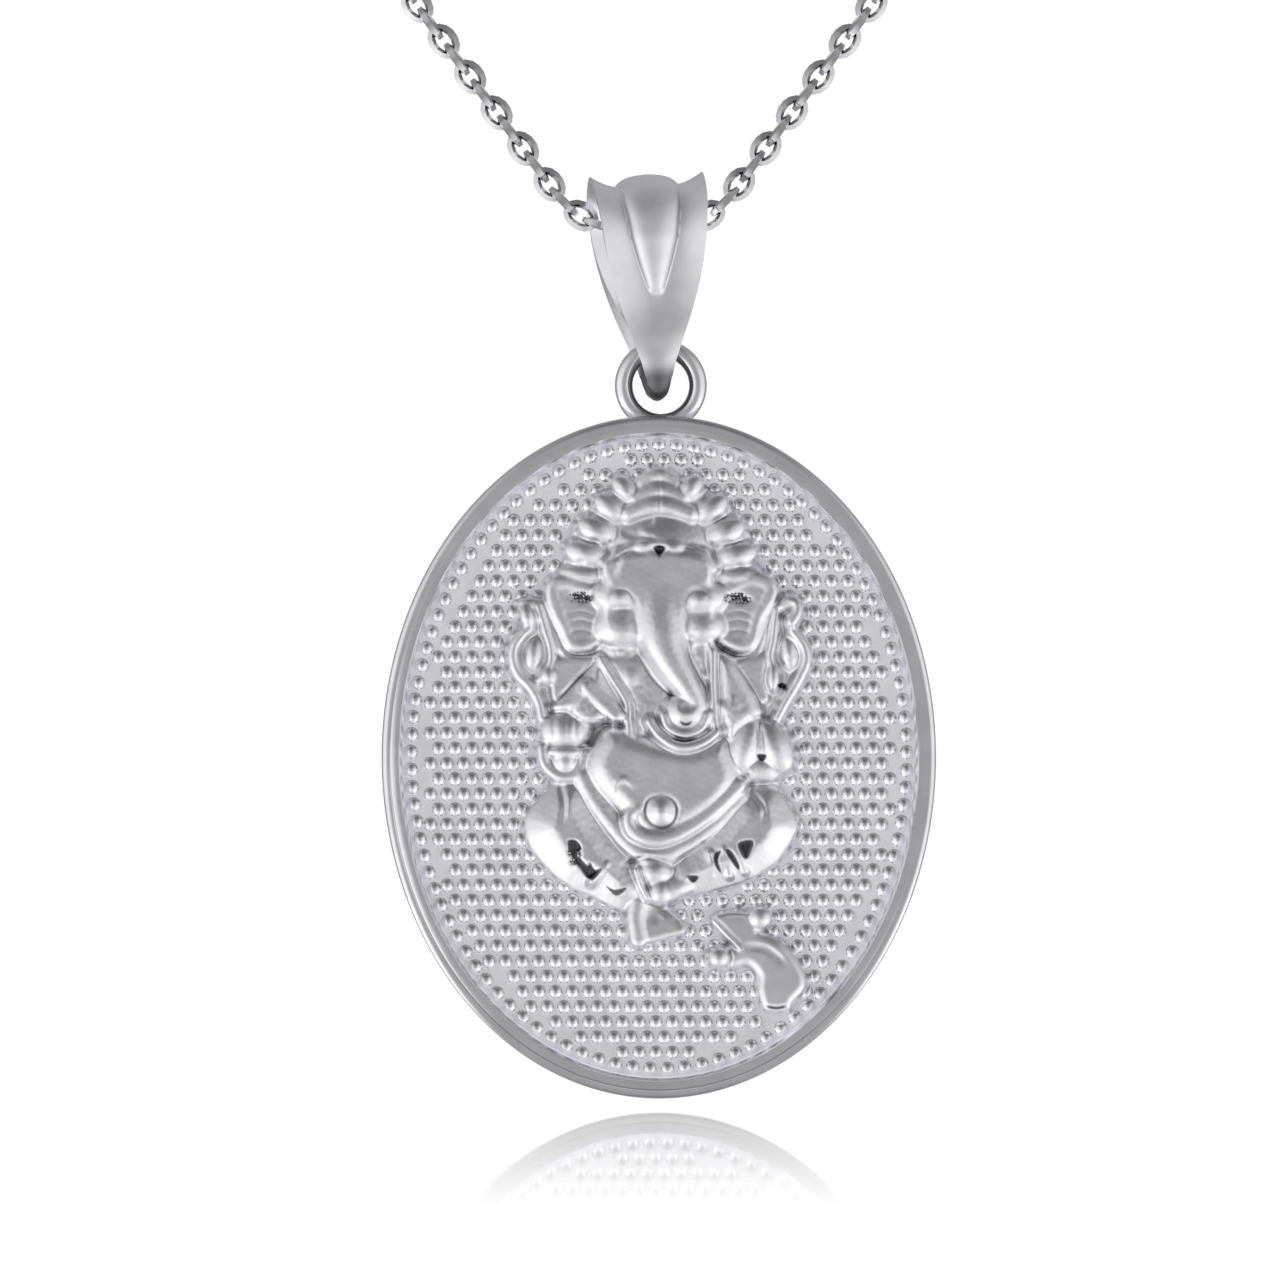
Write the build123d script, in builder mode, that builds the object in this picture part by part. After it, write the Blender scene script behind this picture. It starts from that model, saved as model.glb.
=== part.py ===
from build123d import *
import math
import os

os.makedirs("parts", exist_ok=True)

# A cast oval medallion with a raised seated figure, its bail, its chain and its clasp.
# Millimetres, +Z up. The medallion faces -Y. The origin is where the chain lies on the nape
# of the neck, in the middle of the clasp. The chain goes round the neck, comes down in front
# as a V, and the bail hangs at the bottom of the V.

# Chain
chain_diameter = 1.04

# Chosen points of the chain's centre line, right half, from beside the clasp to the foot of the
# V. The left half is its mirror image. Columns: x, y, z.
chain_route = (
    (20.0, -3.5, -1.0),
    (41.0, -15.0, -6.5),
    (56.0, -36.0, -17.5),
    (61.2, -61.0, -31.8),
    (56.0, -84.0, -48.5),
    (43.5, -99.0, -66.2),
    (28.7, -105.0, -86.8),
    (2.06, -105.0, -122.8),
)
corner_share = 0.45

# Medallion
medallion_width = 19.4
medallion_height = 23.9
medallion_thickness = 1.5
medallion_offset = 0.51
rim_width = 0.72
ground_depth = 0.45
rim_shoulder = 0.22
rim_bevel = 0.12
back_edge = 0.15

# Ring soldered on the rim
ring_wire = 0.62
ring_inner = 1.98
ring_offset = 0.58
ring_solder_depth = 0.55
ring_gap = 0.38

# Bail
bail_width = 3.96
bail_depth = 3.9
bail_wall = 0.42
bail_height = 7.95
bail_flute = 0.33
bail_flute_place = 0.6
bail_fold_round = 1.0
bail_fold_width = 0.6
bail_fold_corner = 0.2
bail_fold_inset = 0.04
bail_tip = 1.95
bail_join = 0.7
bail_join_width = 0.38
bail_offset = 0.15
bail_lean = 3.0
bail_yaw = 7.0

# Clasp: a plain barrel with an eye at each end
clasp_barrel_length = 5.6
clasp_barrel_diameter = 2.6
clasp_end_round = 0.9
clasp_eye_outer = 2.2
clasp_eye_wire = 0.4
clasp_eye_overlap = 0.4
clasp_chain_gap = 0.05

# Relief. The figure is laid out on a grid of figure_steps over its height, counted from the
# middle of the medallion. Rises are shares of relief_height.
figure_height = 16.6
figure_steps = 473
relief_height = 1.25
relief_root = 0.3
step = figure_height / figure_steps

# Rounded forms. Columns: x, y, half across, half up, turn in degrees, rise.
rounded_forms = {
    "belly": (0, -28, 70, 62, 0, 1.0),
    "chest": (0, 45, 60, 52, 0, 0.74),
    "lap": (0, -98, 62, 34, 0, 0.66),
    "head": (2, 165, 55, 48, 0, 0.84),
    "trunk_root": (-2, 126, 31, 36, 0, 0.96),
    "trunk_middle": (9, 95, 24, 36, 16, 0.9),
    "trunk_end": (29, 66, 15, 26, 28, 0.84),
    "trunk_tip": (27, 43, 20, 19, 0, 1.0),
    "left_eye": (-39, 159, 11, 8, 15, 0.9),
    "right_eye": (39, 159, 11, 8, -15, 0.9),
    "cap": (0, 214, 47, 31, 0, 0.82),
    "tier_low": (1, 245, 27, 10, 0, 0.74),
    "tier_middle": (1, 261, 21, 9, 0, 0.62),
    "tier_high": (1, 276, 16, 9, 0, 0.5),
    "apex": (-2, 288, 6, 7, 0, 0.4),
    "left_shoulder": (-80, 78, 16, 36, -42, 0.62),
    "right_shoulder": (82, 82, 16, 36, 46, 0.62),
    "left_armlet": (-59, 49, 20, 17, 0, 0.68),
    "right_armlet": (77, 41, 19, 22, 0, 0.68),
    "left_fist": (-99, 29, 20, 14, 0, 0.68),
    "left_palm": (-96, -3, 25, 24, 0, 0.56),
    "left_sweet": (-96, -4, 14, 14, 0, 0.74),
    "right_palm": (98, 5, 30, 31, 0, 0.72),
    "left_thigh": (-92, -64, 44, 38, 24, 0.84),
    "right_thigh": (96, -58, 44, 36, -24, 0.84),
    "left_shin": (-78, -102, 62, 29, -36, 0.8),
    "right_shin": (77, -98, 62, 29, 30, 0.8),
    "foot": (-7, -126, 21, 21, 0, 0.78),
    "navel": (2, -55, 12, 12, 0, 1.08),
}

# Pieces of the back arms and robe, given for the left side and mirrored. Same columns.
paired_forms = {
    "back_arm": (-123, 57, 10, 25, 28, 0.44),
    "back_forearm": (-139, 98, 10, 27, 4, 0.46),
    "back_wrist": (-132, 124, 9, 15, -35, 0.46),
    "back_knob": (-131, 142, 8, 9, 0, 0.5),
    "back_hand": (-125, 98, 8, 17, -8, 0.56),
    "robe": (-104, 90, 16, 32, 12, 0.36),
    "low_lobe": (-75, 205, 21, 10, -28, 0.52),
    "middle_lobe": (-63, 229, 19, 10, -34, 0.52),
    "upper_lobe": (-50, 248, 16, 9, -40, 0.5),
    "top_lobe": (-34, 265, 12, 9, -48, 0.46),
}

# Scalloped headband: distances from the middle and heights on the grid. Columns: x, y.
headband = ((-48, 198), (-33, 205), (-17, 208), (0, 204), (17, 208), (33, 205), (48, 198))
headband_scallop = (9, 6, 0, 0.92)

# Outlines on the grid, all in the same turning sense. The silhouette carries the whole figure.
silhouette = (
    (-2, 290), (-21, 279), (-41, 270), (-64, 251), (-80, 230), (-94, 206), (-92, 190),
    (-115, 172), (-111, 156), (-103, 138), (-110, 118), (-122, 140), (-130, 152), (-140, 142),
    (-135, 128), (-147, 114), (-147, 98), (-134, 68), (-118, 42), (-121, 30), (-121, 6),
    (-116, -12), (-106, -26), (-133, -63), (-131, -80), (-116, -105), (-94, -127), (-72, -142),
    (-33, -153), (27, -143), (80, -130), (112, -110), (129, -90), (138, -68), (132, -48),
    (108, -28), (124, -8), (130, 6), (116, 26), (123, 42), (136, 68), (149, 98), (147, 116),
    (134, 128), (139, 142), (130, 152), (122, 140), (110, 118), (108, 138), (118, 156),
    (119, 172), (94, 190), (94, 206), (83, 226), (64, 247), (51, 260), (28, 274),
)
left_ear = (
    (-115, 170), (-110, 156), (-103, 138), (-94, 110), (-78, 106),
    (-54, 122), (-50, 147), (-57, 170), (-92, 182),
)
right_ear = (
    (119, 170), (96, 188), (62, 175), (55, 147), (53, 122),
    (64, 108), (83, 104), (96, 110), (106, 138), (117, 156),
)
mouse = (
    (55, -161), (82, -189), (56, -191), (52, -198), (58, -206), (89, -208), (97, -221),
    (101, -239), (106, -252), (127, -252), (134, -241), (145, -230), (145, -217), (134, -198),
    (116, -182), (97, -171), (110, -165), (111, -156), (101, -151), (90, -156), (71, -156),
)
drape = ((-20, -140), (-29, -185), (25, -174), (6, -146))
silhouette_rise = 0.26
ear_rise = 0.46
mouse_rise = 0.34
drape_rise = 0.36
border_width = 7
border_depth = 0.12
piece_draft = 8

# Rounded cords laid over the belly, on the grid.
belt_route = ((-32, -53), (-29, -73), (-6, -84), (27, -83), (62, -42), (77, -28))
belt_corner = 10
belt_half_width = 6.5
belt_level = 0.62
crescent_route = ((-10, 30), (23, 11), (57, 24))
crescent_half_width = 5
crescent_level = 0.86


def grid(x, y, z=0.0):
    """A point of the figure's grid in millimetres."""
    return (x * step, y * step, z)


def rounded_form(x, y, half_across, half_up, turn, rise):
    """Half of an ellipsoid that rises from the ground, with as much below it."""
    axes = (half_across * step, half_up * step, rise * relief_height)
    ball = Sphere(1, mode=Mode.PRIVATE)
    return Location(grid(x, y), (0, 0, turn)) * ball.scale(axes)


def drafted_piece(outline, rise, border=0.0):
    """A flat piece with sloping walls, with a sunk top inside its border if it has one."""
    top = rise * relief_height
    points = [grid(*point) for point in outline]
    with BuildPart() as piece:
        with BuildSketch(Plane.XY.offset(-relief_root)):
            with BuildLine():
                Polyline(*points, close=True)
            make_face()
        extrude(amount=relief_root + top, taper=piece_draft)
        if border > 0:
            with BuildSketch(Plane.XY.offset(top - border_depth)):
                with BuildLine():
                    Polyline(*points, close=True)
                make_face()
                offset(amount=-border * step, kind=Kind.INTERSECTION)
            extrude(amount=border_depth, mode=Mode.SUBTRACT)
    return piece.part


left_forms = [rounded_form(*row) for row in paired_forms.values()]
forms = [rounded_form(*row) for row in rounded_forms.values()] + left_forms
forms += [form.mirror(Plane.YZ) for form in left_forms]
forms += [rounded_form(x, y, *headband_scallop) for x, y in headband]
flat_pieces = [
    drafted_piece(silhouette, silhouette_rise),
    drafted_piece(left_ear, ear_rise, border_width),
    drafted_piece(right_ear, ear_rise, border_width),
    drafted_piece(mouse, mouse_rise, border_width),
    drafted_piece(drape, drape_rise, border_width),
]
with BuildPart() as relief:
    add(forms + flat_pieces)
    split(bisect_by=Plane.XY.offset(-relief_root), keep=Keep.TOP)

# The casting lies flat here: x and y on the plate, z towards the viewer, the ground at z = 0.
plate_back = -(medallion_thickness - ground_depth)
with BuildPart() as casting:
    with BuildSketch(Plane.XY.offset(plate_back)):
        Ellipse(medallion_width / 2, medallion_height / 2)
    extrude(amount=medallion_thickness)
    with BuildSketch():
        Ellipse(medallion_width / 2 - rim_width, medallion_height / 2 - rim_width)
    extrude(amount=ground_depth, mode=Mode.SUBTRACT)
    rim_edges = casting.edges().group_by(Axis.Z)[-1].sort_by(SortBy.LENGTH)
    fillet(rim_edges[-1], radius=rim_shoulder)
    chamfer(casting.edges().group_by(Axis.Z)[-1].sort_by(SortBy.LENGTH)[0], length=rim_bevel)
    chamfer(casting.edges().group_by(Axis.Z)[0], length=back_edge)
    add(relief.part)
    with BuildLine() as belt_line:
        FilletPolyline(*[grid(*p, belt_level) for p in belt_route], radius=belt_corner * step)
    with BuildSketch(Plane(belt_line.line @ 0, z_dir=belt_line.line % 0)):
        Circle(belt_half_width * step)
    sweep(path=belt_line.line)
    with BuildLine() as crescent_line:
        ThreePointArc(*[grid(*p, crescent_level) for p in crescent_route])
    with BuildSketch(Plane(crescent_line.line @ 0, z_dir=crescent_line.line % 0)):
        Circle(crescent_half_width * step)
    sweep(path=crescent_line.line)

# Where the pendant hangs: the plane of the V, the level of the chain at its foot, and below it
# the level where the top of the ring sits in the bail.
front_y = chain_route[-1][1]
hang_z = chain_route[-1][2]
arch_radius = bail_depth / 2
seat_level = arch_radius - bail_height + bail_tip
ring_centre_radius = (ring_inner + ring_wire) / 2
ring_rise = medallion_height / 2 - ring_solder_depth + ring_inner / 2 + ring_wire
medallion_z = hang_z + seat_level - ring_centre_radius - ring_rise
medallion_plane = Plane(
    origin=(medallion_offset, front_y, medallion_z), x_dir=(1, 0, 0), z_dir=(0, -1, 0)
)

# The casting's centre of mass lies in the plane of the V, so it hangs upright.
balance = casting.part.center(CenterOf.MASS).Z

with BuildPart(medallion_plane) as medallion:
    with Locations((0, 0, -balance)):
        add(casting.part)
    with Locations((ring_offset - medallion_offset, ring_rise, 0)):
        Torus(ring_centre_radius, ring_wire / 2)
medallion.part.label = "medallion"
export_step(medallion.part, "parts/medallion.step")

# Side view of the bail, from the chain's centre: an arch, straight flanks and a round tip.
fold_level = arch_radius - bail_height + bail_fold_round
flank_slope = math.asin((arch_radius - bail_fold_round) / -fold_level)
flank_length = math.sqrt(fold_level**2 - (arch_radius - bail_fold_round) ** 2)

# Sections of the strip from the top of the arch down one side. Columns: share of the arch's
# angle, share of the flank's length, width and flute depth as shares of the bail's own.
strip_sections = (
    (0.0, 0.0, 1.0, 1.0),
    (0.5, 0.0, 0.97, 1.0),
    (1.0, 0.0, 0.9, 0.85),
    (1.0, 0.25, 0.78, 0.6),
    (1.0, 0.5, 0.58, 0.25),
    (1.0, 0.78, 0.35, 0.0),
)


def strip_plane(arch_share, flank_share, side):
    """The plane of one section: local x across the strip, local y outward."""
    turn = arch_share * (math.pi / 2 + flank_slope)
    outward = Vector(0, side * math.sin(turn), math.cos(turn))
    along = Vector(0, side * math.cos(turn), -math.sin(turn))
    origin = outward * arch_radius + along * (flank_share * flank_length)
    return Plane(origin=origin, x_dir=(1, 0, 0), z_dir=Vector(1, 0, 0).cross(outward))


def strip_section(plane, width_share, flute_share):
    """A domed rib between two grooves and two raised edges, of one wall."""
    half = bail_width / 2 * width_share
    groove = half * bail_flute_place
    depth = bail_flute * flute_share
    outer = [(-half, 0), (-groove, -depth), (0, 0), (groove, -depth), (half, 0)]
    inner = [(x, y - bail_wall) for x, y in reversed(outer)]
    with BuildSketch(plane) as section:
        with BuildLine():
            Spline(*outer)
            Line(outer[-1], inner[0])
            Spline(*inner)
            Line(inner[-1], outer[0])
        make_face()
    return section.sketch.face()


front_rows = [(-1, *row) for row in reversed(strip_sections)]
back_rows = [(1, *row) for row in strip_sections[1:]]
sections = []
for side, arch_share, flank_share, width_share, flute_share in front_rows + back_rows:
    plane = strip_plane(arch_share, flank_share, side)
    sections.append(strip_section(plane, width_share, flute_share))


def side_outline(arch, foot, foot_level):
    """Two circles and their tangents: the side view of the bail or of its hollow."""
    with BuildSketch() as outline:
        Circle(arch)
        with Locations((0, foot_level)):
            Circle(foot)
        make_hull()
    return outline.sketch


# The strip's foot is folded and soldered through the ring, which has its seat in it.
join_plane = strip_plane(1.0, bail_join, -1)
join_half_width = bail_width / 2 * bail_join_width
fold_bottom = fold_level - bail_fold_round + bail_fold_inset
with BuildPart() as straight_bail:
    with BuildSketch(Plane.YZ):
        add(side_outline(arch_radius - bail_fold_inset, bail_fold_round - bail_fold_inset, fold_level))
        hollow = side_outline(arch_radius - bail_wall, ring_wire / 2 + ring_gap, seat_level)
        add(hollow, mode=Mode.SUBTRACT)
    extrude(amount=join_half_width, both=True)
    with BuildSketch(Plane.XZ) as fold_front:
        with BuildLine():
            Polyline(
                (-join_half_width, join_plane.origin.Z),
                (-bail_fold_width / 2, fold_bottom),
                (bail_fold_width / 2, fold_bottom),
                (join_half_width, join_plane.origin.Z),
                close=True,
            )
        make_face()
        fillet(fold_front.vertices().group_by(Axis.Z)[0], radius=bail_fold_corner)
    extrude(amount=bail_depth, both=True, mode=Mode.INTERSECT)
    add(loft(sections=sections, mode=Mode.PRIVATE))

with BuildPart() as bail:
    with Locations(Location((bail_offset, front_y, hang_z), (0, -bail_lean, bail_yaw))):
        add(straight_bail.part)
bail.part.label = "bail"
export_step(bail.part, "parts/bail.step")

# Clasp, with its middle at the origin
clasp_eye_radius = (clasp_eye_outer - clasp_eye_wire) / 2
clasp_eye_place = clasp_barrel_length / 2 - clasp_eye_overlap + clasp_eye_outer / 2
with BuildPart() as clasp:
    Cylinder(clasp_barrel_diameter / 2, clasp_barrel_length, rotation=(0, 90, 0))
    fillet(clasp.edges().filter_by(GeomType.CIRCLE), radius=clasp_end_round)
    with Locations((clasp_eye_place, 0, 0), (-clasp_eye_place, 0, 0)):
        Torus(clasp_eye_radius, clasp_eye_wire / 2)
clasp.part.label = "clasp"
export_step(clasp.part, "parts/clasp.step")

# Chain: straight runs joined by tangent arcs, from eye to eye round the neck
chain_start = clasp_eye_place + clasp_eye_outer / 2 + clasp_chain_gap
right_half = [(chain_start, 0, 0), *chain_route]
left_half = [(-x, y, z) for x, y, z in reversed(right_half)]
route = [Vector(*point) for point in right_half + left_half]
corner_radii = []
for before, corner, after in zip(route, route[1:], route[2:]):
    run_in = corner - before
    run_out = after - corner
    half_turn = math.radians(run_in.get_angle(run_out)) / 2
    shorter = min(run_in.length, run_out.length)
    corner_radii.append(corner_share * shorter / math.tan(half_turn))

with BuildPart() as chain:
    with BuildLine() as chain_line:
        FilletPolyline(*route, radius=corner_radii)
    with BuildSketch(Plane(chain_line.line @ 0, z_dir=chain_line.line % 0)):
        Circle(chain_diameter / 2)
    sweep(path=chain_line.line)
chain.part.label = "chain"
export_step(chain.part, "parts/chain.step")

chain_length = sum(edge.length for edge in chain_line.edges())
tube_volume = math.pi * (chain_diameter / 2) ** 2 * chain_length
print("corner radii", [round(radius, 1) for radius in corner_radii])
print("chain length", round(chain_length, 1), "whole loop", round(chain_length + 2 * chain_start, 1))
print("tube volume", round(chain.part.volume, 2), "section by length", round(tube_volume, 2))
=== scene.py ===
"""Looks of the ganesha pendant: the cast medallion, its bail, the cable chain and the clasp."""

import math

import bmesh
import bpy
import numpy as np
from bpy.props import FloatProperty, FloatVectorProperty, IntProperty, PointerProperty
from mathutils import Matrix, Vector


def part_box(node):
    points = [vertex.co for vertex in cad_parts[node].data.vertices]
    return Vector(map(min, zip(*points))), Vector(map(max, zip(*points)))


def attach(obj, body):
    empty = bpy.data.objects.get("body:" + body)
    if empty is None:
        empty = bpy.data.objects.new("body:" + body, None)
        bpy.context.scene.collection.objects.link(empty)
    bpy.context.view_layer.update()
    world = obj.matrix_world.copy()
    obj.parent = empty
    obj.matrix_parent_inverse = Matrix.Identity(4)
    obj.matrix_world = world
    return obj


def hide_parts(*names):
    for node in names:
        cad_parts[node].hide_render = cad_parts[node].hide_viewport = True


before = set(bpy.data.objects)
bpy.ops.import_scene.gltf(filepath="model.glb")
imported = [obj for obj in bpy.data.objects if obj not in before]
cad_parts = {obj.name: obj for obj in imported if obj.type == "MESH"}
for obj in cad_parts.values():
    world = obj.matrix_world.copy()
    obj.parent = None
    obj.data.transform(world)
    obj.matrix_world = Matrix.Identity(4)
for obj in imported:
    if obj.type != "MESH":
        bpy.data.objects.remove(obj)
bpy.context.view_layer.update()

bl_info = {
    "name": "Ganesha pendant",
    "version": (1, 0, 0),
    "blender": (4, 5, 0),
    "location": "View3D > Sidebar > Pendant",
    "description": "Builds a cast silver medallion with its bail, cable chain and clasp",
    "category": "Add Mesh",
}

MM = 0.001
MICRON = 0.001 * MM
RIGHT, BACK, UP = (Vector(way) for way in ((1, 0, 0), (0, 1, 0), (0, 0, 1)))


def length(name, description, millimetres):
    """A size property, given in millimetres and kept in metres."""
    return FloatProperty(
        name=name, description=description, default=millimetres * MM, unit="LENGTH", precision=6
    )


def angle(name, description, degrees):
    return FloatProperty(
        name=name, description=description, default=math.radians(degrees), subtype="ANGLE"
    )


def colour(name, description, default):
    return FloatVectorProperty(
        name=name, description=description, default=default, subtype="COLOR", min=0, max=1
    )


class MedallionSizes(bpy.types.PropertyGroup):
    width: length("Width", "Width of the oval plate", 19.4)
    height: length("Height", "Height of the oval plate", 23.9)
    thickness: length("Thickness", "From the back to the top of the rim", 1.5)
    ground_depth: length("Ground depth", "How far the ground lies below the rim", 0.45)
    rim_width: length("Rim width", "Width of the raised rim", 0.72)
    rim_shoulder: length("Rim shoulder", "Radius of the rim's outer edge", 0.22)
    rim_slope: length("Rim slope", "How far the rim falls from its inner to its outer edge", 0.055)
    rim_bevel: length("Rim bevel", "Width of the bright bevel inside the rim", 0.12)
    crease_depth: length("Crease depth", "Depth of the fine crease along the rim", 0.03)
    back_edge: length("Back edge", "Chamfer round the back", 0.15)
    ring_wire: length("Ring wire", "Diameter of the ring's wire", 0.62)
    ring_inner: length("Ring opening", "Inner diameter of the ring", 1.98)
    ring_offset: length("Ring offset", "How far the ring stands right of the oval's middle", 0.07)
    solder_depth: length("Solder depth", "How deep the ring sits in the rim", 0.55)


class ReliefSizes(bpy.types.PropertyGroup):
    step: length("Step", "One step of the relief's layout grid", 0.0351)
    pitch: FloatProperty(
        name="Pitch", description="Steps between two points of the relief", default=1.08, min=0.5
    )
    bead_width: length("Bead width", "Diameter of a bead of the ground", 0.46)
    bead_height: length("Bead height", "How far a bead stands out of the ground", 0.14)
    bead_pitch: length("Bead pitch", "Distance between beads in a row", 0.585)
    row_pitch: length("Row pitch", "Distance between rows of beads", 0.532)
    border_gap: length("Border gap", "From the rim to the middle of the border's beads", 0.30)


class BailSizes(bpy.types.PropertyGroup):
    width: length("Width", "Width of the strip at the top of the arch", 3.96)
    depth: length("Depth", "Depth of the loop from front to back", 3.9)
    height: length("Height", "From the top of the arch to the tip", 7.95)
    wall: length("Wall", "Thickness of the strip", 0.42)
    flute: length("Flute", "Depth of the two grooves", 0.38)
    crown: length("Crown", "How far the edges fall back below the rib", 0.16)
    edge_thinning: length("Edge thinning", "How much thinner the strip is at its edges", 0.2)
    fold_round: length("Fold round", "Radius of the folded tip, seen from the side", 1.0)
    seat_round: length("Seat round", "Radius of the seat that holds the ring", 0.69)
    tip: length("Tip", "From the middle of the seat to the tip", 1.95)
    offset: length("Offset", "How far the bail hangs right of the chain's middle", 0.15)
    lean: angle("Lean", "Sideways lean", 3)
    yaw: angle("Yaw", "Turn about the vertical", 7)


class ChainSizes(bpy.types.PropertyGroup):
    link_length: length("Link length", "Outer length of a link", 1.40)
    link_width: length("Link width", "Outer width of a link", 1.08)
    link_wire: length("Link wire", "Diameter of the wire", 0.30)
    link_pitch: length("Link pitch", "Distance from link to link", 0.78)
    link_sides: IntProperty(name="Link sides", description="Sides round a link", default=14)
    barrel_length: length("Barrel length", "Length of the clasp's barrel", 5.6)
    barrel_diameter: length("Barrel diameter", "Diameter of the clasp's barrel", 2.6)
    barrel_round: length("Barrel round", "Radius of the barrel's ends", 0.9)
    eye_outer: length("Eye", "Outer diameter of the clasp's eyes", 2.2)
    eye_wire: length("Eye wire", "Diameter of the eyes' wire", 0.4)
    eye_overlap: length("Eye overlap", "How deep an eye sits in the barrel", 0.4)


class FinishSettings(bpy.types.PropertyGroup):
    polished: colour("Polished silver", "Cast metal of the medallion", (0.86, 0.853, 0.895))
    relief: colour("Relief silver", "Metal of the figure", (0.88, 0.873, 0.91))
    satin: colour("Satin ground", "Matt metal between the beads", (0.93, 0.92, 0.97))
    # painted shade at the bail's tip and beside its rib, with duller soldered metal lower down
    soldered: colour("Soldered tip", "Dull metal of the bail's tip", (0.15, 0.148, 0.16))
    # painted shade in the creases and hollows of the relief and in the rim's crease
    painted_hollow_shade: colour("Recesses", "Metal in the creases of the relief", (0.07, 0.07, 0.075))
    brushed: colour("Brushed silver", "Metal of the bail", (0.82, 0.815, 0.85))
    # a darker tint than the medallion's silver: painted shade on the whole chain
    bright: colour("Bright silver", "Cut metal of the chain", (0.68, 0.676, 0.70))
    floor: colour("Floor", "Pale studio floor", (0.93, 0.93, 0.93))


# Nodes


class Nodes:
    """A node tree in the making. A call adds a node and gives back one of its outputs."""

    def __init__(self, tree):
        self.tree = tree

    def __call__(self, kind, inputs=None, output=0, **settings):
        """Inputs go by name or number, and hold a value or the output that feeds them."""
        node = self.tree.nodes.new(kind)
        for name, value in settings.items():
            setattr(node, name, value)
        for name, value in (inputs or {}).items():
            if isinstance(value, bpy.types.NodeSocket):
                self.tree.links.new(value, node.inputs[name])
            else:
                node.inputs[name].default_value = value
        return node.outputs[output] if len(node.outputs) else None

    def math(self, operation, *values):
        return self("ShaderNodeMath", dict(enumerate(values)), operation=operation)

    def vector_math(self, operation, *values):
        return self("ShaderNodeVectorMath", dict(enumerate(values)), operation=operation)

    def ramp(self, value, start, end, low=0.0, high=1.0):
        """A smooth rise from low to high while the value goes from start to end."""
        limits = {"Value": value, "From Min": start, "From Max": end, "To Min": low, "To Max": high}
        return self("ShaderNodeMapRange", limits, interpolation_type="SMOOTHSTEP")

    def noise(self, where, scale, detail):
        inputs = {"Vector": where, "Scale": scale, "Detail": detail, "Roughness": 0.55}
        return self("ShaderNodeTexNoise", inputs, "Fac")

    def mix(self, share, a, b):
        inputs = {"Factor": share, "A": a, "B": b}
        return self("ShaderNodeMix", inputs, "Result", data_type="RGBA")


# Scales of the metal's patterns, for each metre, and the parts of the mottle that change it
MOTTLE, GRAIN, SLOW_SWELL = 900, 9000, 1400
TINT_BAND, GLOSS_BAND = (0.35, 0.65), (0.3, 0.7)
DULL_SHARE = 0.93
# How far the recess attribute mixes in the painted shade colour, from none to full
RECESS_BAND = (0.1, 1.0)
# Each metal: its roughness from and to, its grain and swell in microns, and how metallic it is
METALS = {
    "polished_silver": ((0.13, 0.2), 0.6, 3, 1.0),
    "satin_ground": ((0.5, 0.65), 2, 8, 0.52),
    "cast_relief": ((0.3, 0.4), 1.5, 5, 1.0),
    "bead_silver": ((0.12, 0.18), 0.6, 3, 1.0),
    "bail_silver": ((0.3, 0.38), 3, 6, 0.82),
    "chain_silver": ((0.08, 0.14), 0.4, 2, 1.0),
}


def silver(name, tint, recess=None, brushing=(1, 1, 1)):
    """Metal with a mottled tint, an uneven gloss, a fine grain and a soft swell, and, where a
    recess colour is given, painted shade mixed in by the recess attribute.
    """
    gloss, grain, swell, metallic = METALS[name]
    material = bpy.data.materials.new(name)
    material.use_nodes = True
    node = Nodes(material.node_tree)
    place = node("ShaderNodeTexCoord", output="Object")
    mottle = node.noise(place, MOTTLE, 3)
    stroke = node("ShaderNodeMapping", {"Vector": place, "Scale": brushing})
    darker = [DULL_SHARE * part for part in tint]
    tone = node.mix(node.ramp(mottle, *TINT_BAND), (*darker, 1), (*tint, 1))
    # painted shade: the recess colour mixed in where the recess attribute is high
    if recess:
        depth = node("ShaderNodeAttribute", output="Fac", attribute_name="recess")
        tone = node.mix(node.ramp(depth, *RECESS_BAND), tone, (*recess, 1))
    slow = node.noise(place, SLOW_SWELL, 1)
    height = node.math("MULTIPLY_ADD", node.noise(stroke, GRAIN, 2), grain / swell, slow)
    bump = node("ShaderNodeBump", {"Strength": 1.0, "Distance": swell * MICRON, "Height": height})
    shader = node.tree.nodes["Principled BSDF"].inputs
    shader["Metallic"].default_value = metallic
    rough = node.ramp(mottle, *GLOSS_BAND, *gloss)
    for label, output in (("Base Color", tone), ("Roughness", rough), ("Normal", bump)):
        node.tree.links.new(output, shader[label])
    return material


SOCKETS = {float: "Float", int: "Int", bpy.types.Object: "Object", bpy.types.Material: "Material"}


def grow(piece, name, build, inputs):
    """Turns a piece into the plain mesh that a geometry node tree with named inputs makes of it."""
    tree = bpy.data.node_groups.new(name, "GeometryNodeTree")
    for way in ("OUTPUT", "INPUT"):
        tree.interface.new_socket("Geometry", in_out=way, socket_type="NodeSocketGeometry")
    values = {}
    for label, value in inputs.items():
        kind = next(kind for cls, kind in SOCKETS.items() if isinstance(value, cls))
        socket = tree.interface.new_socket(label, in_out="INPUT", socket_type="NodeSocket" + kind)
        values[socket.identifier] = value
    node = Nodes(tree)
    given = tree.nodes.new("NodeGroupInput").outputs
    real = node("GeometryNodeRealizeInstances", {"Geometry": build(node, given)})
    smooth = node("GeometryNodeSetShadeSmooth", {"Geometry": real})
    metal = node("GeometryNodeSetMaterial", {"Geometry": smooth, "Material": given["Material"]})
    node("NodeGroupOutput", {"Geometry": metal})
    modifier = piece.modifiers.new(name, "NODES")
    modifier.node_group = tree
    for identifier, value in values.items():
        modifier[identifier] = value
    graph = bpy.context.evaluated_depsgraph_get()
    graph.update()
    shaped = bpy.data.meshes.new_from_object(piece.evaluated_get(graph), depsgraph=graph)
    piece.modifiers.remove(modifier)
    shaped.name = piece.name
    piece.data = shaped


# Meshes


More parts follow.
